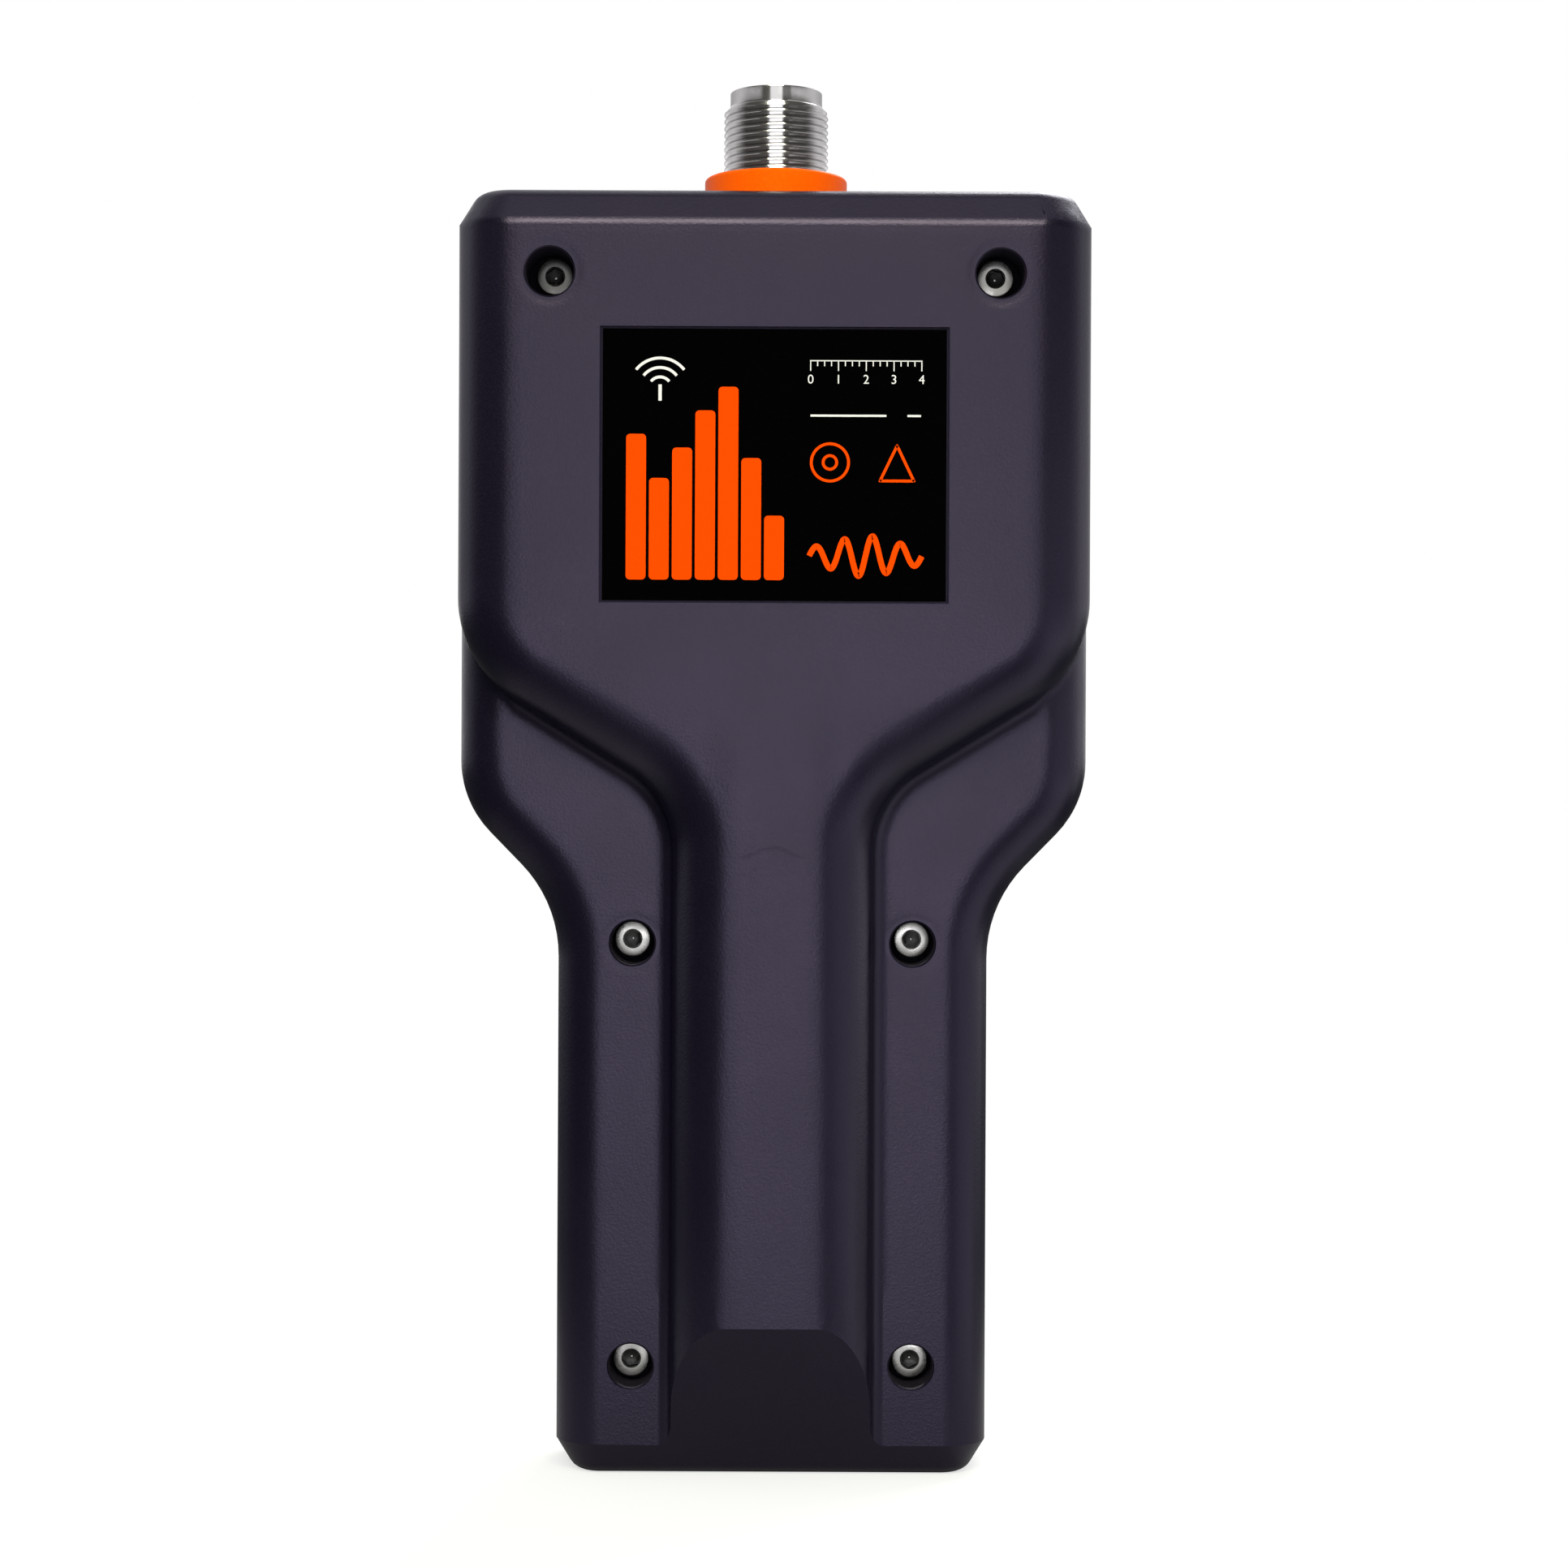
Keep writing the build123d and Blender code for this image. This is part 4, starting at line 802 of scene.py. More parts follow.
@dataclass(frozen=True)
class Laminate(Finish):
    """Circuit board: solder mask over copper tracks and a woven core."""

    def dress(self, graph: Graph, shader: Node) -> None:
        """Add tracks as lighter, raised bands, and the weave below."""
        tracks = graph.add("TexVoronoi", {"Vector": graph.place, "Scale": 140.0}, distance="MANHATTAN")
        tracks = graph.product(tracks.outputs["Distance"], 6.0)
        copper = graph.fade(graph.maths("FRACT", tracks), 0.45, 0.55)
        weave = graph.wave(500.0, "DIAGONAL")
        graph.feed(shader, {
            "Base Color": graph.blend(copper, self.colour, self.shade(1.7, 0.01)),
            "Roughness": graph.fade(graph.noise(300.0), 0.3, 0.7, 0.3, 0.4),
            "Normal": graph.bump(graph.total(copper, graph.product(weave, 0.2)), 0.02),
        })


CASE_LOOK = {
    "slot": "case_plastic", "colour": (0.0030, 0.0020, 0.0088), "roughness": 0.32,
    "level": 0.52, "tint": (0.79, 0.68, 1.0),
}
CASE = CasePlastic("case_plastic_back", **CASE_LOOK)
CASE_FRONT = MouldedPlastic("case_plastic_front", **CASE_LOOK)
COLLAR = MouldedPlastic("orange_plastic_satin", "orange_plastic", (1.0, 0.112, 0.0005), 0.42, grain=0.5,
                        depth=0.004, dust=0.0, wear=0.0, level=0.12, tint=(1.0, 0.45, 0.05))
HOLDER = MouldedPlastic("holder_nylon", "holder_plastic", (0.012, 0.012, 0.013), 0.5)
CHIP = MouldedPlastic("moulded_epoxy", "chip_epoxy", (0.014, 0.014, 0.015), 0.55, grain=0.12)
JACKET = MouldedPlastic("coax_jacket_brown", "coax_jacket", (0.26, 0.10, 0.022), 0.35, wear=0.0)
PTFE = MouldedPlastic("white_insulator", "ptfe", (0.84, 0.84, 0.81), 0.5, wear=0.0)
NICKEL = TurnedMetal("bright_nickel", "nickel", (0.76, 0.74, 0.75), 0.15, metallic=0.92)
# The thread's painted shade darkens the foot of its grooves.
THREAD_NICKEL = ThreadedMetal("bright_nickel_thread", "nickel", (0.66, 0.64, 0.65), 0.13, metallic=0.93,
                              depth=0.0008, grime=0.60)
GOLD = TurnedMetal("gold_plate", "gold", (0.86, 0.60, 0.22), 0.2)
BRASS = TurnedMetal("bright_brass", "brass", (0.70, 0.50, 0.20), 0.28)
STEEL = TurnedMetal("screw_steel", "steel", (0.34, 0.335, 0.33), 0.30, pitch=0.09, metallic=0.95)
# Lit and shaded copies of one steel: the head screws get a darker colour and more painted shade than the
# handle screws, and their +X head more still.
HEAD_STEEL = SocketSteel("screw_steel_head", "steel", (0.32, 0.315, 0.31), 0.30,
                         grime=0.97, face=11.5, oily=0.66)
HANDLE_STEEL = SocketSteel("screw_steel_handle", "steel", (0.42, 0.415, 0.41), 0.30, grime=0.93, face=-0.2)
SHIELD = BrushedSheet("tinned_sheet", "shield_sheet", (0.66, 0.66, 0.64), 0.32)
CELL = BrushedSheet("cell_sleeve", "cell_wrap", (0.02, 0.09, 0.42), 0.35, metallic=0.1)
VINYL = PrintedSheet("label_black", "label_vinyl", (0.0004, 0.0004, 0.0005), 0.60, level=0.0)
ORANGE_INK = PrintedSheet("ink_orange", "label_vinyl", (0.98, 0.068, 0.0003), 0.60, level=0.0)
WHITE_INK = PrintedSheet("ink_white", "label_vinyl", (0.80, 0.80, 0.80), 0.60, level=0.05)
KEY_INK = PrintedSheet("ink_keys", "key_rubber", (0.72, 0.72, 0.74), 0.55)
LCD_GLASS = PrintedSheet("lcd_black_glass", "lcd_black", (0.002, 0.0025, 0.004), 0.15, level=0.1)
FLEX = PrintedSheet("amber_film", "flex_film", (0.30, 0.11, 0.012), 0.3)
KEY_RUBBER = SiliconeRubber("key_silicone", "key_rubber", (0.020, 0.020, 0.024), 0.62)
OK_RUBBER = SiliconeRubber("ok_silicone", "ok_rubber", (0.95, 0.085, 0.0), 0.6)
POWER_RUBBER = SiliconeRubber("power_silicone", "power_rubber", (0.38, 0.012, 0.008), 0.6)
SEAL_RUBBER = SiliconeRubber("seal_silicone", "seal_rubber", (0.006, 0.006, 0.007), 0.7)
FOAM = SiliconeRubber("black_foam", "tape_foam", (0.010, 0.010, 0.010), 0.85, grain=0.4)
WINDOW = ClearWindow("window_clear", "window_glass", (0.97, 0.98, 0.98), 0.0)
BOARD = Laminate("solder_mask_green", "board_laminate", (0.006, 0.075, 0.026), 0.35)
LIT_ORANGE = LitInk("display_orange", "lcd_black", (1.0, 0.16, 0.01), 0.3, glow=1.1)
LIT_GREY = LitInk("display_grid", "lcd_black", (0.16, 0.19, 0.22), 0.3)
LIT_WHITE = LitInk("display_white", "lcd_black", (0.8, 0.85, 0.9), 0.3)
LIT_BACK = LitInk("display_field", "lcd_black", (0.006, 0.010, 0.020), 0.3)
LIGHT = LitInk("status_lens", "light_pipe", (0.30, 0.62, 0.30), 0.2, glow=0.35)


# ------------------------------------------------------------------ sub-assemblies


@dataclass
class SubAssembly:
    """Part of the object that is built and dressed together.

    Attributes:
        body: The CAD body that its pieces ride on.
    """

    body: str = "case"

    def keep(
        self, piece: Object, name: str, finish: Finish, nodes: Iterable[str] = (), body: str = ""
    ) -> None:
        """Name, dress and fix a finished piece.

        Args:
            piece: The piece, with its place in its mesh.
            name: Its name.
            finish: Its finish.
            nodes: CAD nodes that it stands for.
            body: The body it rides on, where that isn't the sub-assembly's own.
        """
        settle(piece)
        piece.name = name
        piece.data.name = name
        piece.data.materials.clear()
        piece.data.materials.append(finish.material())
        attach(piece, body or self.body)
        if nodes:
            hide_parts(*nodes)
        LOG.info("piece %s: %d faces", name, len(piece.data.polygons))

    @staticmethod
    def dress_nodes(**finishes: Finish) -> None:
        """Give CAD nodes their finishes."""
        for node, finish in finishes.items():
            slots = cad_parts[node].data.materials
            slots.clear()
            slots.append(finish.material())
            LOG.info("node %s: %s", node, finish.name)


class Facing(Enum):
    """Side of the case that flat artwork lies on, with the turn that lays it there."""

    BACK = (math.pi / 2, 0.0, math.pi)
    FRONT = (math.pi / 2, 0.0, 0.0)


@dataclass
class Artwork:
    """Flat shapes of one ink, drawn in a plane and then laid on the case.

    Attributes:
        facing: The side that they lie on.
        level: Depth of the surface under them, as Y in millimetres.
        centre: X and Z of the drawing's own origin, in millimetres.
        thickness: Thickness of the ink.
    """

    facing: Facing
    level: float
    centre: Point = (0.0, 0.0)
    thickness: float = 0.06
    shapes: list[Object] = field(default_factory=list)

    def bar(self, x: float, y: float, width: float, height: float, corner: float = 0.0) -> None:
        """Add a bar with its middle at x, y, and rounded corners where asked."""
        shape = new_primitive("plane", size=MM, location=(x * MM, y * MM, 0.0))
        shape.scale = (width, height, 1.0)
        settle(shape)
        if corner > 0.0:
            with edit_mode(shape, whole=True):
                bpy.ops.mesh.bevel(offset=corner * MM, segments=5, affect="VERTICES")
        self.shapes.append(shape)

    def ribbon(self, path: Sequence[Point], width: float) -> None:
        """Add a line of even width that follows a path of points."""
        columns = len(path) - 1
        shape = new_primitive("grid", x_subdivisions=columns, y_subdivisions=1, size=2.0)
        line = [Vector(point) for point in path]
        for vertex in shape.data.vertices:
            index = round((vertex.co.x + 1.0) / 2.0 * columns)
            ahead = line[min(index + 1, columns)] - line[max(index - 1, 0)]
            across = Vector((-ahead.y, ahead.x)).normalized() * (width / 2.0)
            spot = line[index] + (across if vertex.co.y > 0.0 else -across)
            vertex.co = Vector((spot.x * MM, spot.y * MM, 0.0))
        self.shapes.append(shape)

    def arc(
        self, x: float, y: float, radius: float, width: float, start: float = 0.0, end: float = 360.0
    ) -> None:
        """Add a ring, or an arc between two angles in degrees."""
        count = max(8, int(abs(end - start) / 6.0))
        angles = [math.radians(start + (end - start) * step / count) for step in range(count + 1)]
        self.ribbon([(x + radius * math.cos(angle), y + radius * math.sin(angle)) for angle in angles], width)

    def polygon(self, points: Sequence[Point]) -> None:
        """Add a filled shape with these corners, given anticlockwise."""
        shape = new_primitive("circle", vertices=len(points), radius=MM, fill_type="NGON")
        for vertex, (x, y) in zip(shape.data.vertices, points):
            vertex.co = Vector((x * MM, y * MM, 0.0))
        self.shapes.append(shape)

    def outline(self, points: Sequence[Point], width: float) -> None:
        """Add the outline of a closed shape, as straight lines that meet in round corners."""
        for first, second in zip(points, [*points[1:], points[0]]):
            self.ribbon([first, second], width)
            self.arc(first[0], first[1], width / 4.0, width / 2.0)

    def figure(self, text: str, x: float, y: float, size: float) -> None:
        """Add a number, with its middle at x, y."""
        bpy.ops.object.select_all(action="DESELECT")
        bpy.ops.object.text_add(location=(x * MM, y * MM, 0.0))
        shape = bpy.context.active_object
        shape.data.body = text
        shape.data.size = size * MM
        shape.data.align_x = "CENTER"
        shape.data.align_y = "CENTER"
        shape.data.resolution_u = 6
        activate(shape)
        bpy.ops.object.convert(target="MESH")
        settle(shape)
        self.shapes.append(shape)

    def lay(self) -> Object:
        """Join the shapes, give them the ink's thickness and lay them on the case.

        Returns:
            The finished piece, its ink half sunk in the surface.
        """
        piece = join(self.shapes)
        with edit_mode(piece, whole=True):
            bpy.ops.mesh.remove_doubles(threshold=1e-7)
        apply_modifier(piece, "SOLIDIFY", thickness=self.thickness * MM, offset=0.0)
        with edit_mode(piece, whole=True):
            bpy.ops.mesh.normals_make_consistent(inside=False)
        piece.location = (self.centre[0] * MM, self.level * MM, self.centre[1] * MM)
        piece.rotation_euler = Euler(self.facing.value)
        settle(piece)
        self.shapes = []
        return piece


@dataclass
class CaseCovers(SubAssembly):
    """Back and front covers of the case, and the gasket between them."""

    crease_height: float = 188.3
    crease_front: float = 12.0
    crease_drop: float = 0.28
    crease_round: float = 0.65

    def build(self) -> None:
        """Shade the covers smooth, and dress them with the parts that hold them."""
        self.keep(self.soften_crease(merged_copy("rear_cover")), "back_cover", CASE, ["rear_cover"])
        self.keep(merged_copy("front_cover"), "face_cover", CASE_FRONT, ["front_cover"])
        self.keep(merged_copy("connector_carrier"), "collar_moulding", COLLAR, ["connector_carrier"])
        self.dress_nodes(case_seal=SEAL_RUBBER, boss_inserts=BRASS)

    def soften_crease(self, piece: Object) -> Object:
        """Round off the crease where the raised back meets the slope of its upper end."""
        with edit_mode(piece, "EDGE", whole=True):
            bpy.ops.mesh.dissolve_limited(angle_limit=math.radians(0.2))
        low = Vector((-60.0, self.crease_front, self.crease_height - 0.02)) * MM
        high = Vector((60.0, 20.0, self.crease_height + 0.02)) * MM
        pick(piece, lambda vertex: all(a <= b <= c for a, b, c in zip(low, vertex.co, high)))
        with edit_mode(piece):
            bpy.ops.transform.translate(value=(0.0, 0.0, -self.crease_drop * MM))
            bpy.ops.mesh.bevel(offset=self.crease_round * MM, segments=6, affect="EDGES", clamp_overlap=True)
        smooth(piece)
        return piece


@dataclass
class CoaxSocket(SubAssembly):
    """Threaded coaxial socket on top of the case."""

    thread_radius: float = 7.94
    root_radius: float = 7.60
    pitch: float = 1.0583
    thread_low: float = 197.5
    thread_high: float = 208.1
    lead_in: float = 0.8
    pilot_radius: float = 7.0
    rim: float = 210.5
    neck_bottom: float = 183.6
    flange_depth: float = 2.5
    mouth_radius: float = 4.25
    bore_radius: float = 3.9
    shoulder: float = 206.1
    screw_place: float = 7.6
    screw_hole: float = 1.4
    inner_hole: float = 4.5
    steps: int = 120

    def build(self) -> None:
        """Build the threaded shell, and dress what is inside it."""
        self.keep(self.shell(), "socket_shell", THREAD_NICKEL, ["connector_shell"])
        self.dress_nodes(connector_insulator=PTFE, connector_contact=GOLD, connector_screws=STEEL)
        self.dress_nodes(coax_ferrule=NICKEL, coax_lead=JACKET, coax_plug=GOLD)

    def thread(self) -> Object:
        """Run one pitch of the thread's profile up the helix, and trim it to the socket's ends."""
        shape = (
            (0.0, 0.0), (0.06, 0.03), (0.12, 0.12), (0.22, 0.35), (0.32, 0.58), (0.42, 0.81), (0.48, 0.92),
            (0.54, 0.98), (0.60, 1.0), (0.66, 0.98), (0.72, 0.90), (0.80, 0.66), (0.88, 0.34), (0.94, 0.12),
            (1.0, 0.0),
        )
        depth = self.thread_radius - self.root_radius
        turns = math.ceil((self.thread_high - self.thread_low) / self.pitch) + 3
        start = self.thread_low - 1.5 * self.pitch
        points = [(self.root_radius + depth * rise, start + self.pitch * share) for share, rise in shape]
        thread = draw_profile(points)
        spin(thread, self.steps, self.pitch, turns)
        for vertex in thread.data.vertices:
            height = min(max(vertex.co.z / MM, self.thread_low), self.thread_high)
            lead = self.thread_radius - self.lead_in + (self.thread_high - height)
            foot = self.root_radius - 0.1 + 1.2 * (height - self.thread_low)
            radius = math.hypot(vertex.co.x, vertex.co.y)
            trim = min(radius, lead * MM, foot * MM) / radius
            vertex.co = Vector((vertex.co.x * trim, vertex.co.y * trim, height * MM))
        return thread

    def shell(self) -> Object:
        """Build the shell: thread, pilot, mouth, bore, flange with its screw holes, and stub.

        Returns:
            The shell as one closed mesh.
        """
        low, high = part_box("connector_shell")
        stub = low.z / MM
        flange_width = (high.x - low.x) / MM
        flange_top = self.neck_bottom
        flange_middle = flange_top - self.flange_depth / 2.0
        top_radius = self.thread_radius - self.lead_in
        foot_radius = self.root_radius - 0.1
        bevel = 0.16
        chamfer = 0.25
        profile = [
            (foot_radius, self.thread_low), (foot_radius, flange_top - 1.0), (5.0, flange_top - 1.0),
            (5.0, stub + 0.2), (4.8, stub), (self.bore_radius, stub),
            (self.bore_radius, self.shoulder), (self.mouth_radius, self.shoulder),
            (self.mouth_radius, self.rim - chamfer), (self.mouth_radius + chamfer, self.rim),
            (self.pilot_radius - bevel, self.rim), (self.pilot_radius - bevel * 0.3, self.rim - bevel * 0.3),
            (self.pilot_radius, self.rim - bevel), (self.pilot_radius, self.thread_high + chamfer),
            (self.pilot_radius - 0.08, self.thread_high), (top_radius, self.thread_high),
        ]
        body = turned(profile, self.steps)
        shell = join([body, self.thread()])
        tidy_mesh(shell, 2e-6)
        flange = new_primitive("cube", size=MM, location=(0.0, 0.0, flange_middle * MM))
        flange.scale = (flange_width, flange_width, self.flange_depth)
        settle(flange)
        apply_modifier(flange, "BEVEL", width=chamfer * MM, segments=2)
        sides = (-self.screw_place, self.screw_place)
        holes = [(x, y, self.screw_hole, 32) for x in sides for y in sides]
        for x, y, radius, facets in (*holes, (0.0, 0.0, self.inner_hole, self.steps)):
            hole = new_primitive("cylinder", vertices=facets, radius=radius * MM, depth=6.0 * MM)
            hole.location = Vector((x, y, flange_middle)) * MM
            settle(hole)
            cut(flange, hole)
        cut(shell, flange, "UNION")
        smooth(shell, 35.0)
        return shell


@dataclass
class CaseScrews(SubAssembly):
    """Socket cap screws in the wells of the back cover."""

    head_radius: float = 2.75
    head_height: float = 3.0
    hex_width: float = 2.5
    hex_depth: float = 1.6
    shank_radius: float = 1.2
    top_length: float = 20.0
    lower_length: float = 8.0
    ridges: int = 44
    ridge_depth: float = 0.07
    first_turn: float = 0.35
    next_turn: float = 0.83
    top_places: tuple[Point, ...] = ((-32.9, 180.6), (32.9, 180.6))
    lower_places: tuple[Point, ...] = ((-21.25, 81.2), (21.4, 81.15), (-21.25, 16.9), (21.35, 16.9))

    def build(self) -> None:
        """Build one screw of each length, and copy it to its places, a little off the middle of each well."""
        self.row("head_screws", "top_case_screws", self.top_places, self.top_length, HEAD_STEEL)
        self.row("handle_screws", "lower_case_screws", self.lower_places, self.lower_length, HANDLE_STEEL)

    def row(self, name: str, node: str, places: Sequence[Point], length: float, finish: Finish) -> None:
        """Build the screws that stand for one CAD node.

        Args:
            name: The piece's name.
            node: The CAD node that it stands for.
            places: X and Z of each screw.
            length: Length under the head.
            finish: The steel they are made of.
        """
        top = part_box(node)[1].y
        model = self.screw(length)
        copies = []
        points = []
        for turn, (x, z) in enumerate(places):
            screw = copy_of(model)
            screw.rotation_euler = Euler((-math.pi / 2, self.first_turn + self.next_turn * turn, 0.0))
            screw.location = (x * MM, top, z * MM)
            settle(screw)
            copies.append(screw)
            floor = top - (self.hex_depth + 0.1) * MM
            point = new_primitive("cylinder", vertices=24, radius=0.24 * MM, depth=0.3 * MM,
                                  location=(x * MM, floor, z * MM), rotation=(math.pi / 2, 0.0, 0.0))
            apply_modifier(point, "BEVEL", width=0.08 * MM, segments=2)
            points.append(point)
        bpy.data.objects.remove(model)
        self.keep(join(copies), name, finish, [node])
        # The centres take plain steel, free of the heads' painted shade, so they show as bright points in the
        # dark sockets.
        centres = join(points)
        smooth(centres)
        self.keep(centres, f"{name}_centres", STEEL)

    def screw(self, length: float) -> Object:
        """Model a screw with the top of its head at the origin and its shank down -Z.

        Args:
            length: Length under the head.

        Returns:
            The screw.
        """
        head = self.head_radius
        end = -(self.head_height + length)
        profile = [
            (0.0, 0.0), (head - 0.20, 0.0), (head - 0.10, -0.03), (head - 0.03, -0.10), (head, -0.20),
            (head, -self.head_height + 0.12), (head - 0.12, -self.head_height),
            (self.shank_radius, -self.head_height), (self.shank_radius, end + 0.4),
            (self.shank_radius - 0.35, end), (0.0, end),
        ]
        screw = turned(profile, 2 * self.ridges)
        for vertex in screw.data.vertices:
            radius = math.hypot(vertex.co.x, vertex.co.y)
            column = round(math.atan2(vertex.co.y, vertex.co.x) / math.tau * 2 * self.ridges)
            if abs(radius - head * MM) < 1e-6 and column % 2:
                vertex.co.x *= 1.0 - self.ridge_depth / head
                vertex.co.y *= 1.0 - self.ridge_depth / head
        socket = self.hex_width / math.sqrt(3.0)
        deep = 2 * self.hex_depth
        cut(screw, new_primitive("cylinder", vertices=6, radius=socket * MM, depth=deep * MM))
        cut(screw, new_primitive("cylinder", vertices=48, radius=(socket + 0.06) * MM, depth=0.52 * MM))
        point = new_primitive("cone", vertices=48, radius1=0.0, radius2=(self.hex_width / 2 - 0.05) * MM,
                              depth=0.55 * MM, location=(0.0, 0.0, (-self.hex_depth - 0.27) * MM))
        cut(screw, point)
        smooth(screw, 30.0)
        return screw


@dataclass
class RatingLabel(SubAssembly):
    """Printed label in the recess of the back cover."""

    level: float = 17.75
    centre_z: float = 152.0
    line: float = 0.42
    thin: float = 0.16
    scale_left: float = 5.3
    scale_width: float = 16.4
    scale_height: float = 15.4

    def build(self) -> None:
        """Dress the label's sheet and print on it."""
        self.dress_nodes(rating_label=VINYL)
        self.keep(self.orange_print(), "label_print_orange", ORANGE_INK)
        self.keep(self.white_print(), "label_print_white", WHITE_INK)

    def sheet(self) -> Artwork:
        """Start artwork on the label's face."""
        return Artwork(Facing.BACK, self.level, (0.0, self.centre_z))

    def orange_print(self) -> Object:
        """Print a wave, two outline signs and a field of level bars in orange."""
        art = self.sheet()
        wave = []
        for step in range(241):
            share = step / 240
            swell = 0.45 + 0.55 * math.sin(math.pi * share) ** 2
            wave.append((5.2 + 16.6 * share, -13.4 + 3.0 * swell * math.sin(share * 4.0 * math.tau)))
        art.ribbon(wave, 0.85)
        for radius in (2.75, 1.0):
            art.arc(8.2, 0.4, radius, self.line)
        art.outline([(15.6, -2.3), (20.6, -2.3), (18.1, 2.9)], self.line)
        for column, height in enumerate((21.5, 15.0, 19.5, 25.0, 28.5, 18.0, 9.5)):
            art.bar(-20.4 + 3.4 * column, -17.0 + height / 2, 2.95, height, 0.6)
        return art.lay()

    def white_print(self) -> Object:
        """Print a scale, rules and a small aerial sign in white."""
        art = self.sheet()
        left, width, high = self.scale_left, self.scale_width, self.scale_height
        art.bar(left + width / 2, high, width + 0.2, self.thin)
        for tick in range(17):
            tall = 1.5 if tick % 4 == 0 else 0.8
            art.bar(left + width * tick / 16, high - tall / 2, self.thin, tall)
        for number in range(5):
            art.figure(str(number), left + width * number / 4, high - 2.8, 1.9)
        for x, length in ((10.9, 11.2), (20.6, 2.0)):
            art.bar(x, 7.3, length, 0.32)
        for radius in (1.7, 3.1, 4.5):
            art.arc(-16.9, 11.2, radius, self.line, 38.0, 142.0)
        art.bar(-16.9, 10.6, 0.5, 2.4)
        return art.lay()


@dataclass
class Keypad(SubAssembly):
    """Rubber keys on the front, with the signs printed on them."""

    level: float = -17.985
    figure_size: float = 4.6

    def build(self) -> None:
        """Dress the mat and the keys, and print each key's sign."""
        self.dress_nodes(keypad_mat=SEAL_RUBBER, key_domes=SHIELD)
        for node in sorted(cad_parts):
            if node.startswith("key_") and node != "key_domes":
                self.key(node)

    def key(self, node: str) -> None:
        """Shade one key smooth and print its sign."""
        finish = {"key_ok": OK_RUBBER, "key_power": POWER_RUBBER}.get(node, KEY_RUBBER)
        low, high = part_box(node)
        centre = ((low.x + high.x) / 2 / MM, (low.z + high.z) / 2 / MM)
        self.keep(merged_copy(node, 35.0), f"{node}_cap", finish, [node], body=node)
        art = Artwork(Facing.FRONT, self.level, centre, thickness=0.05)
        self.draw_sign(art, node.removeprefix("key_"))
        self.keep(art.lay(), f"{node}_sign", KEY_INK, body=node)

    def draw_sign(self, art: Artwork, sign: str) -> None:
        """Draw a key's sign: a number, an arrow or a plain symbol."""
        if sign.isdigit():
            art.figure(sign, 0.0, 0.0, self.figure_size)
        elif sign in ("up", "down", "left", "right"):
            turn = {"up": 0.0, "left": 90.0, "down": 180.0, "right": 270.0}[sign]
            corners = [(-2.1, -1.3), (2.1, -1.3), (0.0, 1.7)]
            art.polygon([self.turned_point(corner, turn) for corner in corners])
        elif sign == "ok":
            art.arc(0.0, 0.0, 1.9, 0.6)
            art.arc(0.0, 0.0, 0.45, 0.9)
        elif sign == "menu":
            for row in (-1.4, 0.0, 1.4):
                art.bar(0.0, row, 4.6, 0.6, 0.2)
        elif sign == "back":
            art.arc(0.5, 0.0, 1.35, 0.55, -90.0, 90.0)
            art.bar(-0.55, 1.35, 2.1, 0.55)
            art.bar(-0.2, -1.35, 1.4, 0.55)
            art.polygon([(-2.6, 1.35), (-1.2, 0.2), (-1.2, 2.5)])
        elif sign == "erase":
            art.outline([(-3.0, 0.0), (-1.4, -1.6), (3.0, -1.6), (3.0, 1.6), (-1.4, 1.6)], 0.42)
            for low in (-0.75, 0.75):
                art.ribbon([(0.0, low), (1.5, -low)], 0.42)
        elif sign == "dot":
            art.arc(0.0, -0.9, 0.35, 0.7)
        elif sign == "power":
            art.arc(0.0, -0.15, 1.75, 0.5, 125.0, 415.0)
            art.bar(0.0, 1.15, 0.5, 1.9)

    @staticmethod
    def turned_point(point: Point, degrees: float) -> Point:
        """Turn a point of a sign round the sign's middle."""
        spot = Matrix.Rotation(math.radians(degrees), 2) @ Vector(point)
        return (spot.x, spot.y)


